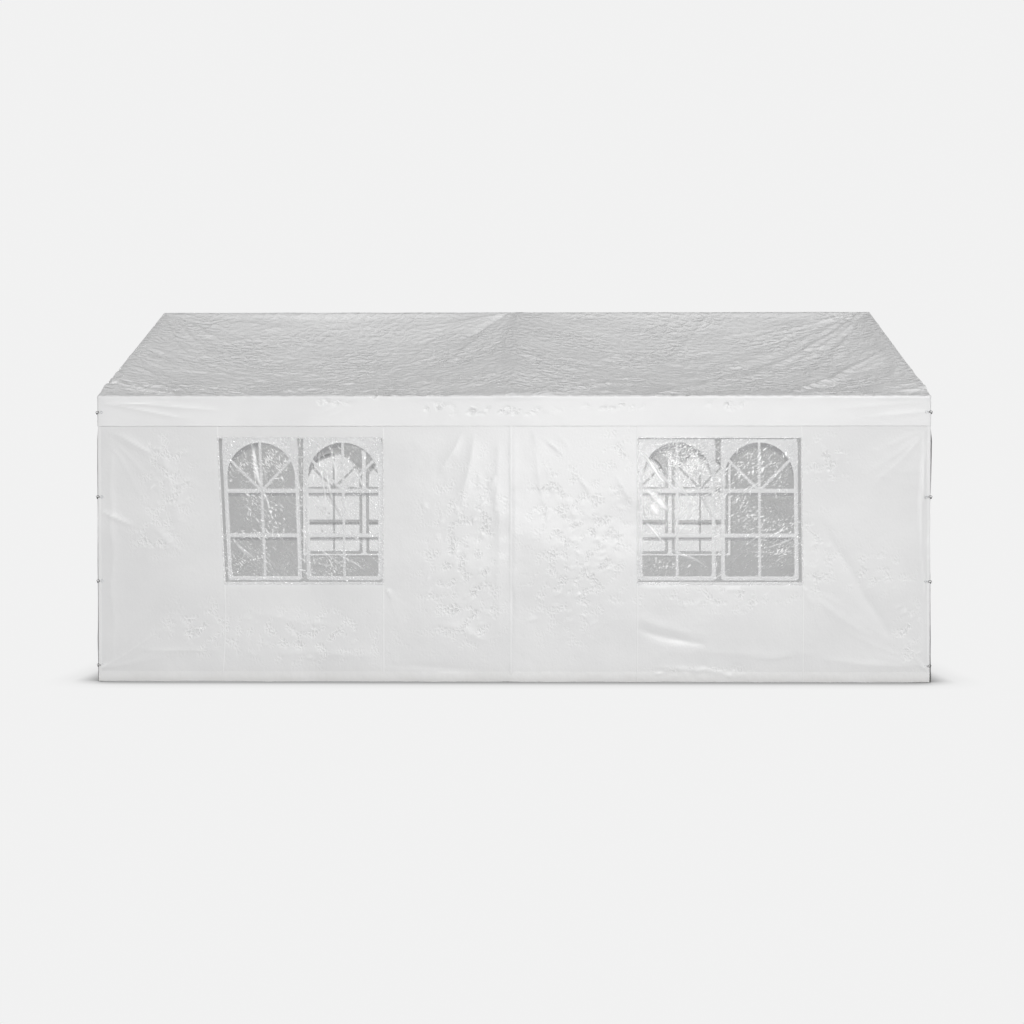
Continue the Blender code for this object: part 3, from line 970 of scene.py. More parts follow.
valanceFolds = {
    # tension folds of the front valance, from (x, s below the eave) to (x, s), width, height
    "front": [
        (-2.99, 0.02, -2.1, 0.09, 0.018, 0.015), (-2.99, 0.03, -2.35, 0.15, 0.016, 0.013),
        (-2.99, 0.05, -2.45, 0.03, 0.012, 0.009), (-1.42, 0.12, -1.22, 0.04, 0.014, 0.0045),
        (-1.35, 0.14, -1.2, 0.08, 0.01, 0.004), (2.99, 0.1, 2.55, 0.14, 0.014, 0.004),
        (2.99, 0.03, 2.3, 0.08, 0.014, 0.0035), (0.1, 0.02, 0.4, 0.16, 0.018, 0.003),
    ],
    "back": [(-2.99, 0.04, -2.3, 0.1, 0.016, 0.0045), (2.99, 0.03, 2.2, 0.12, 0.016, 0.0045)],
}
strewnRoof = {
    # (x, s, reachX, reachY, count, angle) of patches with small creases
    "front": [
        (-2.45, 1.2, 0.5, 0.8, 60, 20), (-1.5, 1.3, 0.6, 0.7, 80, 0), (-1.5, 0.4, 1.1, 0.35, 40, 0),
        (-0.55, 1.2, 0.5, 0.8, 80, -25), (0.55, 0.9, 0.5, 0.9, 50, 10), (1.4, 0.6, 0.7, 0.55, 40, -20),
        (1.3, 1.6, 0.8, 0.45, 50, -40), (2.45, 1.1, 0.5, 0.85, 50, -50),
    ],
    "back": [
        (-1.5, 1.0, 1.3, 0.9, 150, 0), (1.5, 1.0, 1.3, 0.9, 150, 0),
    ],
}
glintRoof = [
    # (x, s, reachX, reachY) where the valance is crumpled, with its crests painted white as glints
    (-1.3, 2.21, 0.1, 0.03), (-0.95, 2.17, 0.08, 0.02), (-0.55, 2.25, 0.1, 0.03),
    (-0.1, 2.27, 0.3, 0.025), (0.75, 2.23, 0.16, 0.03), (1.55, 2.22, 0.1, 0.03),
]


# The slope and valance as one sheet. Points are the profile plus the field along its normal.
# Towards each end the sheet turns down over the rake: x and depth are running sums of the
# cosine and sine of a second angle, from 0 to a right angle.
def makeRoofCover(sideName, side, folds, look):
    seed = folds["seed"]
    bend = look["endRound"]
    flatEnd = abs(roofBox[0].x) - look["insideEnd"] - bend
    curl = bend * math.pi / 2
    tail = look["endTail"]
    stepX, stepS = look["steps"][side]
    stepEnd, stepEave = look["fineSteps"]
    u = gridLines([-flatEnd - curl - tail, -flatEnd - curl, -flatEnd], stepEnd)[:-1]
    u = np.concatenate([u, gridLines([-flatEnd, flatEnd], stepX), -u[::-1]])
    over = np.abs(u) - flatEnd
    turn = np.clip(over / curl, 0, 1) * math.pi / 2
    x = np.sign(u) * np.where(over > 0, flatEnd + bend * np.sin(turn), np.abs(u))
    depth = np.where(over > 0, bend * (1 - np.cos(turn)) + np.clip(over - curl, 0, None), 0.0)
    slope = gridLines([0, profile["stops"][1], eaveStart], stepS)[:-1]
    eave = gridLines([eaveStart, eaveEnd], stepEave)[:-1]
    s = np.concatenate([slope, eave, gridLines([eaveEnd, clothEnd], stepS)])
    gridX, gridS = np.meshgrid(x, s)
    down = gridS - eaveEnd
    field = roofField(gridX, gridS, folds, seed, look)
    field = field + foldHeight(gridX, down, valanceFolds[sideName]) * ease(down, 0.0, 0.02)
    small = strewnFolds(strewnRoof[sideName], *look["strewn"], seed + 12)
    middle, reach = len(x) // 2, (len(x) - 18) // 2  # small creases keep off the turned ends
    inner = slice(middle - reach, middle + reach)
    field[:, inner] = addShortFolds(field[:, inner].copy(), x[inner], s, small)
    field = keepOffTubes(gridX, gridS, field)
    y, z, angle = (np.interp(s, profile["s"], profile[key])[:, None] for key in ("y", "z", "angle"))
    rise = field - depth[None, :]
    points = together(gridX, side * (y + rise * np.sin(angle)), z + rise * np.cos(angle))
    points[..., 0] += np.sign(gridX) * (over[None, :] > 0) * 0.35 * np.abs(field)
    crease = creaseMask(field, stepX, stepS, look["creaseGain"])
    flurry = patchyFlurry(gridX, gridS, *look["flurry"], seed + 14) * (1 - ease(gridS, eaveStart, eaveEnd))
    strength, clump = look["glint"]
    flurry = flurry + strength * strewnMask(gridX, gridS, glintRoof, clump)
    patch = makePatch(points, together(u[None, :], gridS), crease, flurry, flip=side < 0)
    piece = makePiece("roofCover_" + sideName, [patch], roofCloth)
    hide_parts("roof_" + sideName, "valance_" + sideName)


makeRoofCover("front", -1, frontRoofFolds, roofShape)
makeRoofCover("back", 1, backRoofFolds, roofShape)
print("stage: roof covers")

gableShape = {
    "step": 0.020,
    "rowShare": 0.022,
    "outside": 3.0043,
    "belowRake": 0.006,
    "swing": 0.006,
    "seamDrop": 2.062,
    "wander": (0.025, 0.020, 0.4, 0.4, 0.3, 5),
    "belly": (0.010, 0.9, 0.7),  # depth, length and width
    "crumple": (0.0014, 0.16, 0.09),
    "creaseGain": 0.012,
    "flurry": (0.04, 0.22, 0.4, 0.35, -0.1, 0.7),
    "anchors": ((0, 2.86), 2.03),  # of the fans: below the ridge, and the height of both corners
}


# A gable end: y across, and v from the valance's foot to the rake, z = foot + v * (rake - foot).
# It stands off its plane by a slow belly, folds from the ridge and the corners, and fine crumple.
def makeGable(wayName, way, seed, look):
    half = abs(valanceBox[0].y) - 0.004
    step = look["step"]
    y = gridLines([-half, 0, half], step)
    rake = roofBox[1].z - look["belowRake"] - np.abs(y) * math.tan(pitch)
    y, v = np.meshgrid(y, gridLines([0, 1], look["rowShare"]))
    z = valanceFoot + v * (rake[None, :] - valanceFoot)
    warpY, warpZ = wander(y, z, *look["wander"], seed)
    deep, long, wide = look["belly"]
    out = deep * ease(ripple(y / long, z / wide, seed + 2), -1, 1)
    top, low = look["anchors"]
    fans = (
        (top, (215, 325), 11, (0.4, 0.9), 0.022, 0.006, seed + 3),
        ((half, low), (140, 195), 7, (0.4, 1.1), 0.018, 0.006, seed + 4),
        ((-half, low), (-15, 40), 7, (0.4, 1.1), 0.018, 0.006, seed + 5),
    )
    addFans(out, warpY, warpZ, fans)
    out += crumpleWave(warpY, warpZ, *look["crumple"], seed + 6)
    free = 1 - ease(z, valanceFoot, look["seamDrop"])
    out += look["swing"] * free * (0.5 + 0.5 * ripple(y / 0.5, z / 0.5, seed + 8))
    out = np.clip(out, 0, None) * ease(rake[None, :] - z, 0.0, 0.08) * ease(half - np.abs(y), 0.0, 0.14)
    out += 0.0012 * hump(z - look["seamDrop"], 0.006)
    crease = creaseMask(out, step, step, look["creaseGain"])
    flurry = patchyFlurry(y, z, *look["flurry"], seed + 9)
    points = together(way * (look["outside"] + out), y, z)
    patch = makePatch(points, together(y, z), crease, flurry, flip=way < 0)
    piece = makePiece("gableSheet_" + wayName, [patch], roofCloth)
    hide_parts("gable_" + wayName)


makeGable("left", -1, 81, gableShape)
makeGable("right", 1, 91, gableShape)
print("stage: gable ends")

# ---- side walls with their windows

wallShape = {
    "plane": 2.0018,  # where the cloth hangs, from the middle of the tent
    "step": 0.0135,
    "backStep": 0.019,
    "lap": 0.028,  # how far the right panel laps over the left one
    "hemTop": 0.075,
    "seamWidth": 0.011,
    "edgeWidth": 0.020,
    "bandStep": 0.014,
    "wander": (0.018, 0.018, 0.30, 0.30, 0.30, 4),
    "swells": (0.007, ((0.007, 0.95, 0.8, 2), (0.0035, 0.4, 0.33, 3))),
    "crumple": (0.00055, 0.11, 0.11),
    "footSway": (0.0035, 0.35, 0.22, 0.9),  # height, how far up it reaches, length and width
    "footWaves": (0.0, ((0.004, 0.5, 1.0, 20), (0.003, 0.13, 1.0, 21))),
    "footRange": (-0.003, 0.002, 0.001, 0.25),  # lowest and highest wave, drop, and how far up
    "clump": 0.08,  # size of the clumps of small creases
    "windowCalm": 0.55,  # share of the folds that the window takes out
    "leastGap": 0.0006,  # between the cloth and its plane
    "lapRise": (0.0022, 0.05),  # height and reach
    "leanLevel": (0.74, 1.80, 2.0),  # where the lean is nothing, and where it fades out at the top
    "creaseGain": 0.010,
    "strewn": (0.065, 0.0075, 0.0048),  # length, width and height of the small creases
}
windowShape = {
    "offset": -0.018,
    "archWidth": 0.50,
    "archFoot": 0.765,
    "archTop": 1.73,
    "frameWidth": 0.029,
    "middleStrip": 0.037,
    "edgeStrip": 0.022,
    "sill": 0.736,
    "head": 1.759,
    "foot": 0.714,
    "springBar": (1.382, 0.031),
    "lowBar": (1.060, 0.029),
    "mullion": 0.020,
    "diagonal": 0.020,
    "shadeWidth": 0.026,
    "filmStep": 0.0060,
    "backFilmStep": 0.014,
    "archShade": 0.045,
    "rightShades": {-1: 0.45, 1: 1.0},  # strength of the arches' right shade, left and right panel
    "filmLap": 0.012,
    "filmWander": (0.010, 0.010, 0.12, 0.12, 0.12, 3),
    "filmStrewn": (0.045, 0.0030, 1.0),
    "filmFaint": (0.085, 0.42, 0.25),  # width and length of the faint creases, and what is cut off them
    "filmWhite": (1.7, 0.35),  # how white the creases and the faint ones are
    "filmRise": (0.0022, 0.0022, 0.0006, 0.0014),  # level, creases, waves, and all of it at the edge
    "filmFlurries": ((1.6, 0.09), (1.5, 0.5)),  # strength and size of the clumps
}

wallLooks = {
    # folds from (x, z) to (x, z), width, height; patches of small creases; lean of the window in metres
    "front_left": {
        "folds": [
            (-2.985, 1.235, -2.74, 1.125, 0.014, 0.014), (-2.93, 1.82, -2.58, 1.64, 0.018, 0.015),
            (-2.9, 1.83, -2.9, 0.1, 0.026, 0.01), (-2.76, 0.245, -2.15, 0.225, 0.016, 0.007),
            (-2.55, 1.8, -2.42, 1.1, 0.05, 0.009), (-2.62, 1.12, -2.42, 0.93, 0.02, 0.008),
            (-0.35, 1.83, -0.52, 1.5, 0.02, 0.008), (-0.28, 1.83, -0.36, 1.25, 0.03, 0.008),
            (-0.52, 0.42, -0.15, 0.3, 0.03, 0.008), (-0.95, 0.125, -0.2, 0.1, 0.024, -0.006),
            (-2.0, 0.5, -1.2, 0.4, 0.045, 0.006), (-1.8, 0.22, -0.95, 0.18, 0.035, 0.007),
            (-0.1, 1.83, -0.1, 0.3, 0.035, 0.006),
        ],
        "fans": [
            ((-2.98, 0.10), (5, 45), 5, (0.3, 0.8), 0.022, 0.006, 101),
            ((-2.98, 1.83), (-60, -15), 5, (0.4, 0.9), 0.022, 0.006, 102),
            ((-0.90, 0.66), (-80, -20), 4, (0.2, 0.5), 0.022, 0.005, 103),
        ],
        "patches": [
            (-2.5, 1.45, 0.14, 0.28, 34, 5), (-2.61, 1.05, 0.13, 0.12, 16, 0),
            (-2.3, 0.4, 0.22, 0.15, 12, 0), (-0.46, 0.9, 0.18, 0.45, 20, 80),
            (-0.2, 1.1, 0.12, 0.42, 16, 60), (-0.3, 0.5, 0.16, 0.2, 14, 40),
            (-1.5, 0.33, 0.5, 0.16, 18, 0),
        ],
        "film": [
            (-1.87, 1.73, -1.82, 1.38, 0.015, 1.2), (-1.85, 1.72, -1.86, 1.42, 0.01, 0.9),
            (-1.83, 1.73, -1.77, 1.4, 0.007, 0.9), (-1.84, 1.5, -1.72, 1.12, 0.008, 0.7),
            (-1.9, 1.36, -1.66, 1.0, 0.006, 0.5), (-2.08, 1.06, -1.84, 0.8, 0.005, 0.7),
            (-2.06, 1.05, -1.8, 0.79, 0.005, 0.9), (-2.03, 1.06, -1.76, 0.77, 0.004, 0.8),
            (-1.99, 1.05, -1.72, 0.77, 0.004, 0.7), (-1.94, 1.02, -1.7, 0.8, 0.004, 0.6),
            (-1.4, 1.72, -1.34, 1.2, 0.008, 0.8), (-1.3, 1.74, -1.26, 1.34, 0.01, 0.8),
            (-1.36, 1.6, -1.3, 1.3, 0.012, 0.9), (-1.22, 1.1, -1.04, 0.96, 0.006, 0.5),
            (-1.45, 1.0, -1.15, 0.78, 0.008, 0.7), (-1.34, 0.98, -1.06, 0.8, 0.007, 0.6),
            (-1.2, 1.62, -1.02, 1.34, 0.007, 0.7),
        ],
        "filmPatches": [
            (-1.95, 1.55, 0.1, 0.1, 40, -40), (-1.72, 1.58, 0.1, 0.12, 40, -50),
            (-1.84, 1.28, 0.1, 0.12, 40, -60), (-1.74, 1.18, 0.09, 0.1, 40, -50),
            (-1.9, 1.07, 0.22, 0.03, 50, -20), (-1.3, 1.6, 0.16, 0.12, 40, -60),
            (-1.1, 1.5, 0.1, 0.14, 24, -40), (-1.35, 0.84, 0.18, 0.08, 40, -30),
            (-1.9, 0.9, 0.18, 0.12, 20, -45), (-1.52, 1.25, 0.03, 0.5, 50, -50),
        ],
        "lean": (0.048, 0.030, 0.0),
        "push": (0.040, 0.014, 0.0),
        "filmLean": -50,  # degrees
        "seed": 100,
    },
    "front_right": {
        "folds": [
            (2.945, 1.84, 2.945, 0.95, 0.012, 0.02), (2.965, 1.84, 2.97, 0.12, 0.016, -0.014),
            (2.94, 0.98, 2.985, 0.3, 0.018, 0.008), (2.22, 1.18, 2.74, 0.28, 0.04, -0.016),
            (2.1, 0.62, 2.6, 0.34, 0.04, 0.008), (0.19, 1.83, 0.58, 1.36, 0.014, 0.007),
            (0.13, 1.83, 0.24, 1.2, 0.026, 0.006), (0.22, 1.6, 0.52, 1.1, 0.02, 0.005),
            (0.43, 1.56, 0.58, 1.33, 0.018, 0.008), (0.72, 1.52, 0.9, 1.26, 0.016, 0.007),
            (0.3, 1.83, 0.46, 1.62, 0.016, 0.007), (0.02, 1.83, 0.03, 0.2, 0.026, 0.006),
            (0.88, 0.39, 1.4, 0.26, 0.03, -0.014), (0.9, 0.46, 1.3, 0.35, 0.03, 0.007),
            (1.02, 0.115, 1.66, 0.045, 0.014, 0.007), (1.7, 0.185, 2.05, 0.18, 0.012, 0.005),
            (1.3, 0.22, 2.2, 0.2, 0.04, 0.006), (2.2, 0.17, 2.9, 0.1, 0.03, 0.008),
            (2.12, 1.82, 2.35, 1.6, 0.02, 0.007),
        ],
        "fans": [
            ((2.98, 0.10), (130, 178), 5, (0.3, 0.8), 0.022, 0.006, 111),
            ((2.98, 1.83), (200, 240), 4, (0.4, 0.8), 0.022, 0.005, 112),
            ((0.12, 1.85), (-70, -35), 5, (0.3, 0.9), 0.018, 0.006, 113),
            ((2.10, 0.68), (-75, -20), 4, (0.2, 0.6), 0.022, 0.005, 114),
        ],
        "patches": [
            (0.32, 1.35, 0.14, 0.22, 24, 70), (0.4, 0.85, 0.26, 0.42, 26, 0),
            (0.75, 1.68, 0.1, 0.13, 16, 30), (0.6, 1.05, 0.2, 0.35, 22, 0),
            (2.25, 1.6, 0.14, 0.14, 12, 60), (2.18, 0.9, 0.12, 0.25, 10, 0),
            (2.6, 0.8, 0.2, 0.12, 8, 0), (1.4, 0.07, 0.35, 0.03, 18, -5), (1.5, 0.6, 0.45, 0.08, 12, 0),
            (2.85, 0.35, 0.08, 0.2, 12, 70),
        ],
        "film": [
            (0.93, 1.66, 1.13, 1.4, 0.008, 0.9), (0.97, 1.4, 1.12, 1.24, 0.02, 1.3),
            (0.98, 1.3, 1.06, 1.2, 0.022, 1.2), (0.95, 1.16, 1.1, 1.0, 0.006, 0.7),
            (1.12, 1.7, 1.36, 1.42, 0.008, 0.7), (1.22, 1.74, 1.44, 1.5, 0.007, 0.7),
            (1.06, 1.6, 1.3, 1.3, 0.007, 0.5), (1.1, 0.98, 1.4, 0.84, 0.007, 0.5),
            (1.6, 1.32, 1.86, 1.5, 0.009, 0.7), (1.66, 1.4, 1.9, 1.62, 0.007, 0.6),
            (1.72, 1.0, 2.04, 1.14, 0.008, 0.8), (1.76, 0.94, 2.06, 1.06, 0.007, 0.7),
            (1.66, 0.98, 1.96, 1.2, 0.007, 0.6), (1.56, 1.14, 1.84, 1.26, 0.007, 0.6),
            (1.7, 0.95, 2.02, 0.92, 0.007, 0.5),
        ],
        "filmPatches": [
            (1.24, 1.62, 0.12, 0.12, 50, -40), (1.38, 1.5, 0.1, 0.16, 50, 30),
            (1.2, 1.66, 0.16, 0.06, 30, -40), (1.0, 1.36, 0.08, 0.12, 24, -50),
            (1.62, 1.44, 0.12, 0.14, 50, 45), (1.78, 1.54, 0.12, 0.1, 34, 50),
            (1.85, 1.14, 0.18, 0.12, 50, 35), (1.9, 0.98, 0.16, 0.1, 34, 20),
            (1.12, 0.84, 0.16, 0.08, 16, 70), (1.68, 1.24, 0.13, 0.08, 30, 35),
            (1.96, 1.08, 0.12, 0.1, 30, 35), (1.72, 1.63, 0.16, 0.06, 30, 30),
            (1.94, 1.5, 0.05, 0.16, 30, 70), (1.48, 1.25, 0.03, 0.5, 50, 50),
        ],
        "lean": (0.0, 0.006, 0.010),
        "push": (0.0, 0.0, 0.0),
        "filmLean": 36,  # degrees
        "seed": 120,
    },
    "back_left": {
        "folds": [
            (-2.6, 1.8, -2.4, 0.9, 0.04, 0.009), (-0.5, 1.8, -0.3, 0.8, 0.035, 0.009),
            (-2.0, 0.45, -1.0, 0.35, 0.04, 0.008), (-2.93, 1.8, -2.92, 0.2, 0.022, 0.008),
        ],
        "fans": [
            ((-2.98, 1.83), (-60, -10), 5, (0.4, 0.9), 0.022, 0.006, 131),
            ((-0.05, 1.85), (200, 250), 5, (0.4, 1.0), 0.020, 0.006, 132),
        ],
        "patches": [
            (-2.5, 1.1, 0.2, 0.5, 30, 0), (-0.5, 1.0, 0.2, 0.5, 30, 60), (-1.5, 0.35, 0.6, 0.2, 20, 0),
        ],
        "film": [(-2.0, 1.6, -1.7, 1.0, 0.009, 0.8), (-1.4, 1.5, -1.1, 0.9, 0.009, 0.7)],
        "filmPatches": [(-1.8, 1.2, 0.2, 0.3, 24, -50), (-1.2, 1.4, 0.2, 0.2, 24, 40)],
        "lean": (0.0, 0.004, 0.008),
        "push": (0.0, 0.006, 0.010),
        "filmLean": -40,  # degrees
        "seed": 130,
    },
    "back_right": {
        "folds": [
            (2.6, 1.8, 2.4, 0.9, 0.04, 0.009), (0.4, 1.8, 0.6, 0.8, 0.035, 0.009),
            (1.0, 0.4, 2.0, 0.3, 0.04, 0.008), (2.93, 1.8, 2.94, 0.2, 0.022, 0.008),
        ],
        "fans": [
            ((2.98, 1.83), (190, 240), 5, (0.4, 0.9), 0.022, 0.006, 141),
            ((0.05, 1.85), (-70, -20), 5, (0.4, 1.0), 0.020, 0.006, 142),
        ],
        "patches": [
            (2.5, 1.1, 0.2, 0.5, 30, 0), (0.5, 1.0, 0.2, 0.5, 30, 60), (1.5, 0.35, 0.6, 0.2, 20, 0),
        ],
        "film": [(1.0, 1.6, 1.3, 1.0, 0.009, 0.8), (1.7, 1.5, 2.0, 0.9, 0.009, 0.7)],
        "filmPatches": [(1.2, 1.2, 0.2, 0.3, 24, 50), (1.8, 1.4, 0.2, 0.2, 24, -40)],
        "lean": (0.008, 0.004, 0.0),
        "push": (0.008, 0.016, 0.012),
        "filmLean": 40,  # degrees
        "seed": 150,
    },
}


# where the two arches and the film of one panel lie along the wall
def windowPlan(way):
    look = windowShape
    middle = way * wallBox[0].x / -2 + look["offset"]
    spacing = look["archWidth"] / 2 + look["frameWidth"] + look["middleStrip"] / 2
    outer = spacing + look["archWidth"] / 2 + look["frameWidth"]
    low = middle - outer - (look["edgeStrip"] if way < 0 else 0)
    high = middle + outer + (look["edgeStrip"] if way > 0 else 0)
    return {"arches": (middle - spacing, middle + spacing), "low": low, "high": high, "middle": middle}


# One wall panel's field on its own grid: how far the cloth stands out from its plane
def makePanel(way, side, look):
    plan = windowPlan(way)
    low, high = plan["low"], plan["high"]
    foot, head = windowShape["foot"], windowShape["head"]
    end, inner = abs(wallBox[0].x), -wallShape["lap"] if way > 0 else 0.0
    step = wallShape["step"] if side < 0 else wallShape["backStep"]
    xs = gridLines([-end, low, high, inner] if way < 0 else [inner, low, high, end], step)
    zs = gridLines([wallBox[0].z, foot, head, wallBox[1].z], step)
    x, z = np.meshgrid(xs, zs)
    seed = look["seed"]
    warpX, warpZ = wander(x, z, *wallShape["wander"], seed)
    out = swells(x, z, *wallShape["swells"], seed)
    out += foldHeight(warpX, warpZ, look["folds"])
    addFans(out, warpX, warpZ, look["fans"])
    out += crumpleWave(warpX, warpZ, *wallShape["crumple"], seed + 5)
    addShortFolds(out, xs, zs, strewnFolds(look["patches"], *wallShape["strewn"], seed + 7))
    height, reach, long, wide = wallShape["footSway"]
    out += height * (1 - ease(z, 0.0, reach)) * ripple(x / long, z / wide, seed + 6)
    inWindow = ease(x, low - 0.03, low + 0.05) * (1 - ease(x, high - 0.05, high + 0.03))
    inWindow *= ease(z, foot - 0.04, foot + 0.04)
    out *= 1 - wallShape["windowCalm"] * inWindow
    underValance = ease(z, valanceFoot - 0.16, valanceFoot + 0.02)
    out = (np.maximum(out, 0.0) - 0.005 * ease(z, 0.9, valanceFoot)) * (1 - underValance)
    out = np.maximum(out, 0.0) + wallShape["leastGap"]
    if way > 0:
        height, reach = wallShape["lapRise"]
        out += height * (1 - ease(x, 0.0, reach)) * (1 - 0.6 * underValance)
    grid = {"xs": xs, "zs": zs, "field": out, "step": step}
    return {"way": way, "side": side, "look": look, "plan": plan, **grid}


# the panel's field at any place, read between its grid lines
def readField(panel, x, z):
    xs, zs, field = panel["xs"], panel["zs"], panel["field"]
    column = np.clip(np.searchsorted(xs, x) - 1, 0, len(xs) - 2)
    row = np.clip(np.searchsorted(zs, z) - 1, 0, len(zs) - 2)
    tx = np.clip((x - xs[column]) / (xs[column + 1] - xs[column]), 0, 1)
    tz = np.clip((z - zs[row]) / (zs[row + 1] - zs[row]), 0, 1)
    low = field[row, column] * (1 - tx) + field[row, column + 1] * tx
    high = field[row + 1, column] * (1 - tx) + field[row + 1, column + 1] * tx
    return low * (1 - tz) + high * tz


# A flat place (x, z) on the wall becomes a point: x shifts with the window's lean, which fades to
# nothing at the panel's ends, and y is the plane plus the field plus lift.
def onWall(panel, x, z, lift):
    plan, look = panel["plan"], panel["look"]
    ends = [panel["xs"][0], plan["low"], plan["middle"], plan["high"], panel["xs"][-1]]
    leans, pushes = ([0.0, *look[key], 0.0] for key in ("lean", "push"))
    level, fadeStart, fadeEnd = wallShape["leanLevel"]
    shift = np.interp(x, ends, leans) * (level - z) + np.interp(x, ends, pushes)
    shift = shift * ease(z, -0.4, 0.75) * (1 - ease(z, fadeStart, fadeEnd))
    return together(x + shift, panel["side"] * (wallShape["plane"] + readField(panel, x, z) + lift), z)


# the cloth of a panel, less the cells of its window; its foot waves a little just above the ground
def makeWall(panel, name, node):
    xs, zs, plan, step = panel["xs"], panel["zs"], panel["plan"], panel["step"]
    x, z = np.meshgrid(xs, zs)
    patches, seed = panel["look"]["patches"], panel["look"]["seed"]
    wave = swells(x, 0 * x, *wallShape["footWaves"], seed)
    lowest, highest, drop, reach = wallShape["footRange"]
    points = onWall(panel, x, z, 0.0)
    points[..., 2] = z + (np.clip(wave, lowest, highest) - drop) * (1 - ease(z, 0.0, reach))
    middleX, middleZ = (xs[1:] + xs[:-1]) / 2, (zs[1:] + zs[:-1]) / 2
    columns = (middleX < plan["low"]) | (middleX > plan["high"])
    rows = (middleZ < windowShape["foot"]) | (middleZ > windowShape["head"])
    crease = creaseMask(panel["field"], step, step, wallShape["creaseGain"])
    keep = rows[:, None] | columns[None, :]
    flurry = strewnMask(x, z, patches, wallShape["clump"])
    patch = makePatch(points, together(x, z), crease, flurry, keep=keep, flip=panel["side"] > 0)
    piece = makePiece(name, [patch], wallCloth)
    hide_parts(node)


# A flat band along a straight line on the wall. Across it the height is lift + dome * (1 - w^2),
# with w from -1 to 1, so both edges lie down on the cloth.
def wallBand(panel, start, end, width, lift, dome, across=5, pucker=0.0):
    x, z, w, run = bandPlaces(start, end, width, wallShape["bandStep"], np.linspace(-1, 1, across))
    swell = 1 - w**2
    raised = lift + dome * swell + pucker * ripple(run / 0.03, w * 0.4, 9) * swell
    uv = together(run, w * width / 2)
    return makePatch(onWall(panel, x, z, raised), uv, 0.2 * swell, flip=panel["side"] > 0)


# The white sheet round one arch, between the arch's outline and the edge of its cell. Both are
# closed curves of the same angle, and the rows go from one to the other in a straight line.
def archSurround(panel, middle, rows=9, count=132):
    look = windowShape
    half, foot, head = look["archWidth"] / 2, look["archFoot"], look["archTop"]
    spring = head - half
    cell = half + look["frameWidth"]
    turn = np.linspace(0, 2 * np.pi, count, endpoint=False) + np.pi / 4
    cosine, sine = np.cos(turn), np.sin(turn)
    middleZ = (foot + spring) / 2
    tall = spring - middleZ
    scale = np.maximum(np.abs(cosine) / half, np.where(sine < 0, np.abs(sine) / tall, 0))
    straight = np.where(scale > 0, 1 / np.maximum(scale, 1e-6), 1e6)
    aboveSpring = (sine * straight > tall) & (sine > 0)
    roundReach = tall * sine + np.sqrt(np.maximum(half**2 - (tall * cosine) ** 2, 1e-9))
    reach = np.where(aboveSpring, roundReach, np.minimum(straight, 10))
    innerX, innerZ = middle + reach * cosine, middleZ + reach * sine
    up, down = look["head"] - middleZ, middleZ - look["sill"]
    outerScale = np.maximum(np.abs(cosine) / cell, np.where(sine > 0, sine / up, -sine / down))
    outerX, outerZ = middle + cosine / outerScale, middleZ + sine / outerScale
    share = np.linspace(0, 1, rows)[:, None]
    x = innerX + share * (outerX - innerX)
    z = innerZ + share * (outerZ - innerZ)
    bead = hump(np.hypot(x - innerX, z - innerZ) - 0.008, 0.006)
    points = onWall(panel, x, z, 0.0004 + 0.0010 * bead)
    return makePatch(points, together(x, z), 0.6 * bead, 0.15, closed=True, flip=panel["side"] < 0)


# bands of an arched light: mullion, spring bar, low bar and two diagonals up to the arch
def archBars(panel, middle):
    look = windowShape
    half, diagonal = look["archWidth"] / 2, look["diagonal"]
    (spring, springWide), (low, lowWide) = look["springBar"], look["lowBar"]
    drop = look["archTop"] - half - spring
    reach = (drop + math.sqrt(2 * half**2 - drop**2)) / 2 + 0.006
    left, right = middle - half - 0.006, middle + half + 0.006
    lines = [
        ((middle, look["archFoot"] - 0.008), (middle, look["archTop"] + 0.006), look["mullion"], 0.0010),
        ((left, spring), (right, spring), springWide, 0.0013),
        ((left, low), (right, low), lowWide, 0.0013),
        ((middle, spring), (middle - reach, spring + reach), diagonal, 0.0007),
        ((middle, spring), (middle + reach, spring + reach), diagonal, 0.0007),
    ]
    return [wallBand(panel, start, end, width, lift, 0.0007) for start, end, width, lift in lines]


# painted shade: a dark band under each bar and one along the inside of the arch
def archShades(panel, middle, rightStrength):
    look = windowShape
    half, wide = look["archWidth"] / 2, look["shadeWidth"]
    behind = -0.0012
    patches = []
    for level, thick in (look["springBar"], look["lowBar"]):
        z = np.linspace(level - thick / 2 - wide, level - thick / 2, 7)[:, None]
        x = np.linspace(middle - half, middle + half, 40)[None, :]
        fade = ((z - z[0]) / wide) ** 0.5
        patches.append(makePatch(onWall(panel, x, z, behind), crease=fade, flip=panel["side"] > 0))
    turn = np.linspace(0.05, math.pi - 0.05, 50)[None, :]
    inward = np.linspace(0, 1, 7)[:, None]
    strength = np.where(turn > math.pi / 2, 1.0, rightStrength) * np.sin(turn) ** 0.5
    radius = half - inward * (look["archShade"] * strength)
    x, z = middle + radius * np.cos(turn), look["archTop"] - half + radius * np.sin(turn)
    points = onWall(panel, x, z, behind)
    fade = (1 - inward**2) * 1.3 * strength
    return patches + [makePatch(points, crease=fade, flip=panel["side"] < 0)]


# painted shade along a window's head, where the wall's edge stands off the film
def headShade(panel):
    x = np.linspace(panel["plan"]["low"], panel["plan"]["high"], 90)[None, :]
    z = windowShape["head"] + np.array([-0.005, -0.001, 0.002])[:, None]
    return makePatch(onWall(panel, x, z, 0.0012), crease=0.8, flip=panel["side"] > 0)
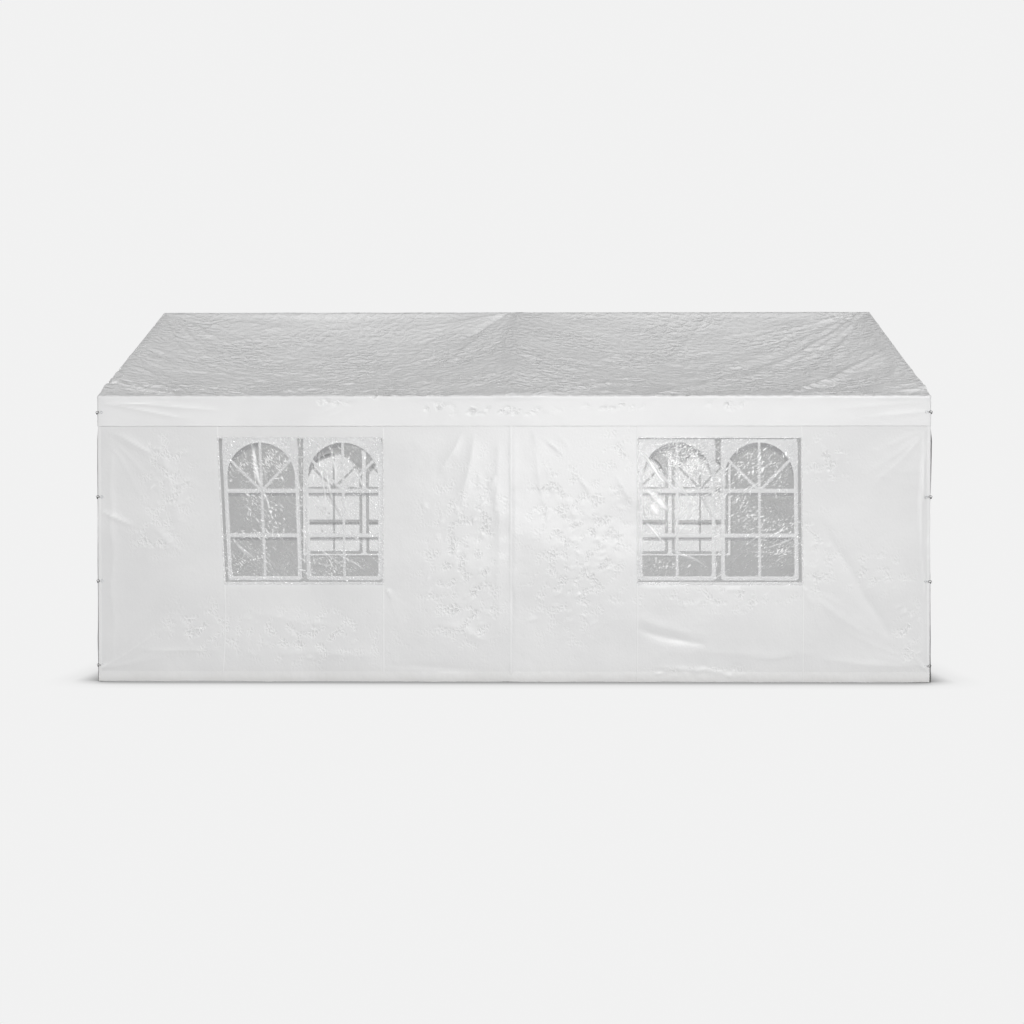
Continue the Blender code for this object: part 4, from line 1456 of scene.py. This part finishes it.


# The clear film over both arches. It follows the wall's field and adds its own creases, whose
# height also marks where the film turns white, as crease whitening with painted glare. The film's UV is
# turned by filmLean.
def filmSheet(panel, name, node):
    plan, look, lap = panel["plan"], panel["look"], windowShape["filmLap"]
    step = windowShape["filmStep"] if panel["side"] < 0 else windowShape["backFilmStep"]
    xs = gridLines([plan["low"] - lap, plan["high"] + lap], step)
    zs = gridLines([windowShape["foot"] - lap, windowShape["head"] + lap], step)
    x, z = np.meshgrid(xs, zs)
    seed = look["seed"] + 60
    warpX, warpZ = wander(x, z, *windowShape["filmWander"], seed)
    small = strewnFolds(look["filmPatches"], *windowShape["filmStrewn"], seed + 2)
    marks = addShortFolds(foldHeight(warpX, warpZ, look["film"]), xs, zs, small)
    across, along = warpX - panel["way"] * warpZ, warpX + panel["way"] * warpZ
    wide, long, cut = windowShape["filmFaint"]
    faint = np.clip(crinkle(across / wide, along / long, seed + 3) - cut, 0, None)
    edge = np.minimum(np.minimum(x - xs[0], xs[-1] - x), np.minimum(z - zs[0], zs[-1] - z))
    level, high, wave, least = windowShape["filmRise"]
    lift = level + high * np.clip(marks, -0.5, 1.2) + wave * ripple(x / 0.2, z / 0.2, seed + 4)
    points = onWall(panel, x, z, lift * ease(edge, 0.0, 0.06) + least)
    white, faintWhite = windowShape["filmWhite"]
    crease = np.clip(marks * white + faintWhite * faint, 0, 1)
    flurries = windowShape["filmFlurries"]
    flurry = sum(strength * strewnMask(x, z, look["filmPatches"], clump) for strength, clump in flurries)
    lean = math.radians(look["filmLean"])
    uv = together(x * math.cos(lean) + z * math.sin(lean), z * math.cos(lean) - x * math.sin(lean))
    patch = makePatch(points, uv, crease, flurry, flip=panel["side"] > 0)
    piece = makePiece(name, [patch], clearFilm)
    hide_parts(node)


# hems, welds beside the window, and the lap at the middle
def wallTrim(panel, name):
    plan, xs, zs = panel["plan"], panel["xs"], panel["zs"]
    top, foot = zs[-1] - 0.01, zs[0] + 0.004
    hem, hemTop = wallShape["hemTop"] / 2 + zs[0], wallShape["hemTop"]
    bands = []  # start, end, width, lift, dome, points across, pucker
    for x in (plan["low"] - 0.008, plan["high"] + 0.008):
        bands.append(((x, foot), (x, top), wallShape["seamWidth"], 0.0005, 0.0009, 5, 0.0007))
    for x in (xs[0] + 0.014, xs[-1] - 0.014):
        bands.append(((x, foot), (x, top), wallShape["edgeWidth"], 0.0004, 0.0006, 5, 0.0006))
    bands.append(((xs[0] + 0.002, hem), (xs[-1] - 0.002, hem), hemTop - 0.006, 0.0004, 0.0008, 9, 0.0012))
    for z, wide in ((windowShape["head"] + 0.004, 0.006), (windowShape["foot"] + 0.002, 0.014)):
        bands.append(((plan["low"], z), (plan["high"], z), wide, 0.0004, 0.0005, 5, 0.0004))
    makePiece(name, [wallBand(panel, *band) for band in bands], trimCloth)


for sideName, side in (("front", -1), ("back", 1)):
    for wayName, way in (("left", -1), ("right", 1)):
        key = sideName + "_" + wayName
        panel = makePanel(way, side, wallLooks[key])
        makeWall(panel, "wallPanel_" + key, "side_wall_" + key)
        surrounds, bars, shades = [], [], []
        for middle in panel["plan"]["arches"]:
            surrounds.append(archSurround(panel, middle))
            bars += archBars(panel, middle)
            shades += archShades(panel, middle, windowShape["rightShades"][way])
        if way > 0:
            shades.append(headShade(panel))
        makePiece("archFrames_" + key, surrounds, frameCloth)
        makePiece("windowBars_" + key, bars, frameCloth)
        makePiece("paintedShades_" + key, shades, paintedShadeFilm)
        filmSheet(panel, "clearFilm_" + key, "window_" + key)
        wallTrim(panel, "wallTrim_" + key)
print("stage: side walls and windows")

# ---- end walls with zipped doors

endShape = {
    "plane": 3.0018,
    "step": 0.020,
    "footDrop": 0.0038,
    "hem": (0.039, 0.076),  # height of its middle, and its width
    "edge": (0.016, 0.028),  # in from the corner, and its width
    "wander": (0.02, 0.02, 0.3, 0.3, 0.3, 4),
    "swells": (0.008, ((0.008, 0.8, 0.9, 2), (0.003, 0.25, 0.5, 3))),
    "crumple": (0.0006, 0.11, 0.11),
    "leastGap": 0.0008,
    "creaseGain": 0.012,
    "flurry": (0.04, 0.22, 0.45, 0.40, -0.1, 0.7),
    "fans": (((-1.95, 1.84), (-75, -15)), ((1.95, 1.84), (195, 255)), ((0, 1.9), (220, 320))),
    "fanSize": (8, (0.4, 1.3), 0.024, 0.008),  # count, reach, width and height
    "folds": [
        (-1.93, 1.8, -1.92, 0.3, 0.022, 0.01), (-1.97, 0.42, -1.93, 0.14, 0.03, 0.02),
        (1.92, 1.8, 1.93, 0.3, 0.022, 0.01), (-1.5, 0.3, -1.0, 0.2, 0.03, 0.008),
        (1.0, 0.25, 1.6, 0.3, 0.03, 0.008),
    ],
}
ends = (("left", -1, 200), ("right", 1, 220))  # way along x, and seed


# An end wall's or door's field: how far the cloth stands out from its plane
def endField(y, z, seed):
    warpY, warpZ = wander(y, z, *endShape["wander"], seed)
    out = swells(y, z, *endShape["swells"], seed)
    addFans(out, warpY, warpZ, [(*fan, *endShape["fanSize"], seed + 4) for fan in endShape["fans"]])
    out += foldHeight(warpY, warpZ, endShape["folds"])
    out += crumpleWave(warpY, warpZ, *endShape["crumple"], seed + 6)
    underValance = ease(z, valanceFoot - 0.12, valanceFoot + 0.01)
    return np.maximum(out, 0.0) * (1 - underValance) + endShape["leastGap"] * underValance


# one sheet of an end on its grid lines; its foot is let down to the ground
def endSheet(name, way, ys, zs, seed, keep=None):
    y, z = np.meshgrid(ys, zs)
    field = endField(y, z, seed)
    foot = z - endShape["footDrop"] * (1 - ease(z, 0.0, 0.1))
    points = together(way * (endShape["plane"] + field), y, foot)
    crease = creaseMask(field, endShape["step"], endShape["step"], endShape["creaseGain"])
    flurry = patchyFlurry(y, z, *endShape["flurry"], seed + 7)
    patch = makePatch(points, together(y, z), crease, flurry, keep=keep, flip=way < 0)
    return makePiece(name, [patch], wallCloth)


def makeEnd(wayName, way, seed):
    half, top, step = abs(endBox[0].y), endBox[1].z, endShape["step"]
    doorHalf, doorTop = abs(doorBox[0].y), doorBox[1].z
    ys = gridLines([-half, -doorHalf, doorHalf, half], step)
    zs = gridLines([endBox[0].z, doorTop, top], step)
    columns, rows = np.abs(ys[1:] + ys[:-1]) / 2 < doorHalf, (zs[1:] + zs[:-1]) / 2 < doorTop
    wall = endSheet("endSheet_" + wayName, way, ys, zs, seed, keep=~(columns[None, :] & rows[:, None]))
    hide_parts("end_wall_" + wayName)
    zs = gridLines([doorBox[0].z, doorTop], step)
    door = endSheet("doorFlap_" + wayName, way, gridLines([-doorHalf, 0, doorHalf], step), zs, seed)
    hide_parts("door_" + wayName)


# a band on an end wall, as wallBand: it follows endField and is lift + dome * (1 - w^2) proud
def endBand(way, start, end, width, lift, dome, seed, across=5):
    y, z, w, run = bandPlaces(start, end, width, endShape["step"], np.linspace(-1, 1, across))
    out = endShape["plane"] + endField(y, z, seed) + lift + dome * (1 - w**2)
    return makePatch(together(way * out, y, z), together(run, w * width / 2), 0.5 * (1 - w**2), flip=way < 0)


# hem along the foot and edge bands up both corners
def endTrim(wayName, way, seed):
    half = abs(endBox[0].y)
    (hem, hemWide), (inset, edgeWide) = endShape["hem"], endShape["edge"]
    start, end = (-half + 0.004, hem), (half - 0.004, hem)
    trims = [endBand(way, start, end, hemWide, 0.0010, 0.003, seed, across=9)]
    for y in (-half + inset, half - inset):
        trims.append(endBand(way, (y, 0.01), (y, 2.0), edgeWide, 0.0008, 0.001, seed))
    makePiece("endTrim_" + wayName, trims, trimCloth)


for wayName, way, seed in ends:
    makeEnd(wayName, way, seed)
    endTrim(wayName, way, seed)
print("stage: end walls and doors")

# ---- small fittings

fittings = {
    "corner": (3.0035, 2.0035),
    "tieHeights": (0.12, 0.73, 1.34, 1.95),
    "eyelet": ((0.0055, 0.0), (0.0055, 0.0018), (0.0075, 0.0028), (0.0105, 0.0016), (0.0110, 0.0)),
    "eyeletPlace": (0.030, 0.0075),  # in from the corner, and out from the cloth's plane
    "loop": (0.016, 0.007),  # half widths
    "ball": 0.0065,
    "elastic": 0.0016,
    "legPlace": (2.9475, 1.9475),
    "screw": ((1e-6, 0.0), (0.0040, 0.0), (0.0040, 0.016), (0.0075, 0.018), (0.0075, 0.024), (1e-6, 0.026)),
    "wing": (0.016, 0.0044),
    "zipTape": 0.030,
    "zipTeeth": (0.0075, 0.0026, 0.0065),  # width, height and pitch
    "sliderLevel": 0.10,
    "slider": (0.0, 0.085, 0.022, 6, 0.0065, 10),  # how proud, foot, length, points, radius, sides
    "pull": (0.003, 0.040, 0.040, 8, 0.0024, 8),
}


# a closed loop of elastic: a stretched circle about a middle, given by its two half widths as vectors
def elasticLoop(middle, first, second, radius):
    turn = np.linspace(0, 2 * np.pi, 20, endpoint=False)[:, None]
    path = np.asarray(middle) + np.cos(turn) * np.asarray(first) + np.sin(turn) * np.asarray(second)
    return barAlong(path, radius, sides=6, ring=True)


# a ball as a turned shape: radius * sin and -radius * cos of the angle from its foot
def ballShape(middle, radius):
    turn = np.linspace(0.001, math.pi - 0.001, 9)
    outline = np.stack([radius * np.sin(turn), -radius * np.cos(turn)], axis=-1)
    return turnedShape(outline, middle, (0, 0, 1), sides=12)


# ties that hold the walls round the corner legs: two eyelets, a loop of elastic and its ball
def makeTies(look):
    eyelets, loops = [], []
    inset, proud = look["eyeletPlace"]
    wide, tall = look["loop"]
    for way, side in ((-1, -1), (-1, 1), (1, -1), (1, 1)):
        x, y = way * look["corner"][0], side * look["corner"][1]
        for z in look["tieHeights"]:
            face = side * (wallShape["plane"] + proud)
            eyelets.append(turnedShape(look["eyelet"], (x - way * inset, face, z), (0, side, 0)))
            face = way * (endShape["plane"] + proud)
            eyelets.append(turnedShape(look["eyelet"], (face, y - side * inset, z), (way, 0, 0)))
            middle = (x + way * 0.001, y + side * 0.001, z)
            loops.append(elasticLoop(middle, (way * -wide, side * wide, 0.0), (0, 0, tall), look["elastic"]))
            loops.append(ballShape((x + way * 0.006, y - side * 0.006, z - 0.010), look["ball"]))
    makePiece("eyelets", eyelets, tubeSteel, weld=True)
    makePiece("elasticTies", loops, darkRubber, weld=True)


# a thumbscrew in each leg socket, pointing into the room
def makeScrews(look):
    screws = []
    legX, legY = look["legPlace"]
    reach, radius = look["wing"]
    for name in nodes:
        if not name.startswith("eave_connector"):
            continue
        low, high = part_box(name)
        side = -1 if low.y < 0 else 1
        middleX = -legX if low.x < -1 else legX if high.x > 1 else 0.0
        place = np.array([middleX, side * (legY - 0.0205), low.z + 0.028])
        screws.append(turnedShape(look["screw"], place, (0, -side, 0), sides=12))
        wing = np.linspace(-reach, reach, 7)[:, None] * np.array([1.0, 0, 0.35])
        screws.append(barAlong(place + np.array([0, -side * 0.021, 0]) + wing, radius, sides=8))
    makePiece("thumbscrews", screws, connectorSteel, weld=True)


# A zip beside a door edge: teeth whose height goes up and down as a square wave
def zipBand(way, start, end, look, seed):
    width, height, tooth = look["zipTeeth"]
    y, z, w, run = bandPlaces(start, end, width, tooth / 2, (-1, -0.9, 0.9, 1))
    raised = np.where(np.arange(run.shape[1]) % 2 == 0, 1.0, 0.55)[None, :] * (np.abs(w) < 0.95)
    out = endShape["plane"] + endField(y, z, seed) + 0.0016 + height * raised
    return makePatch(together(way * out, y, z), flip=way < 0)


# zips up both sides of a door and a tape over its top, with a slider and its pull at each foot,
# and two ties that hold the rolled door
def makeZips(wayName, way, seed, look):
    doorHalf, doorTop, foot = abs(doorBox[0].y), doorBox[1].z, doorBox[0].z + 0.02
    tapes, teeth, pulls = [], [], []
    for y in (-doorHalf, doorHalf):
        tapes.append(endBand(way, (y, foot), (y, doorTop), look["zipTape"], 0.0012, 0.0006, seed))
        teeth.append(zipBand(way, (y, foot), (y, doorTop), look, seed))
        field = endField(np.array([[y]]), np.array([[look["sliderLevel"]]]), seed)
        out = way * (endShape["plane"] + float(field[0, 0]) + 0.006)
        for proud, low, length, count, radius, sides in (look["slider"], look["pull"]):
            path = [(out + way * proud, y, low + step) for step in np.linspace(0, length, count)]
            pulls.append(barAlong(path, radius, sides=sides))
    start, end = (-doorHalf, doorTop), (doorHalf, doorTop)
    tapes.append(endBand(way, start, end, look["zipTape"] * 1.3, 0.0014, 0.0010, seed))
    for y in (-0.5 * doorHalf, 0.5 * doorHalf):
        tapes.append(endBand(way, (y, doorTop - 0.26), (y, doorTop + 0.012), 0.022, 0.0020, 0.0012, seed))
    makePiece("zipTapes_" + wayName, tapes, trimCloth)
    makePiece("zips_" + wayName, teeth + pulls, darkRubber)


makeTies(fittings)
makeScrews(fittings)
for wayName, way, seed in ends:
    makeZips(wayName, way, seed, fittings)
print("stage: fittings")

# ---- the frame's own nodes

for name, node in nodes.items():
    if node.hide_render:
        continue
    node.data.materials.clear()
    node.data.materials.append(connectorSteel if "connector" in name else tubeSteel)
print("stage: frame finishes")
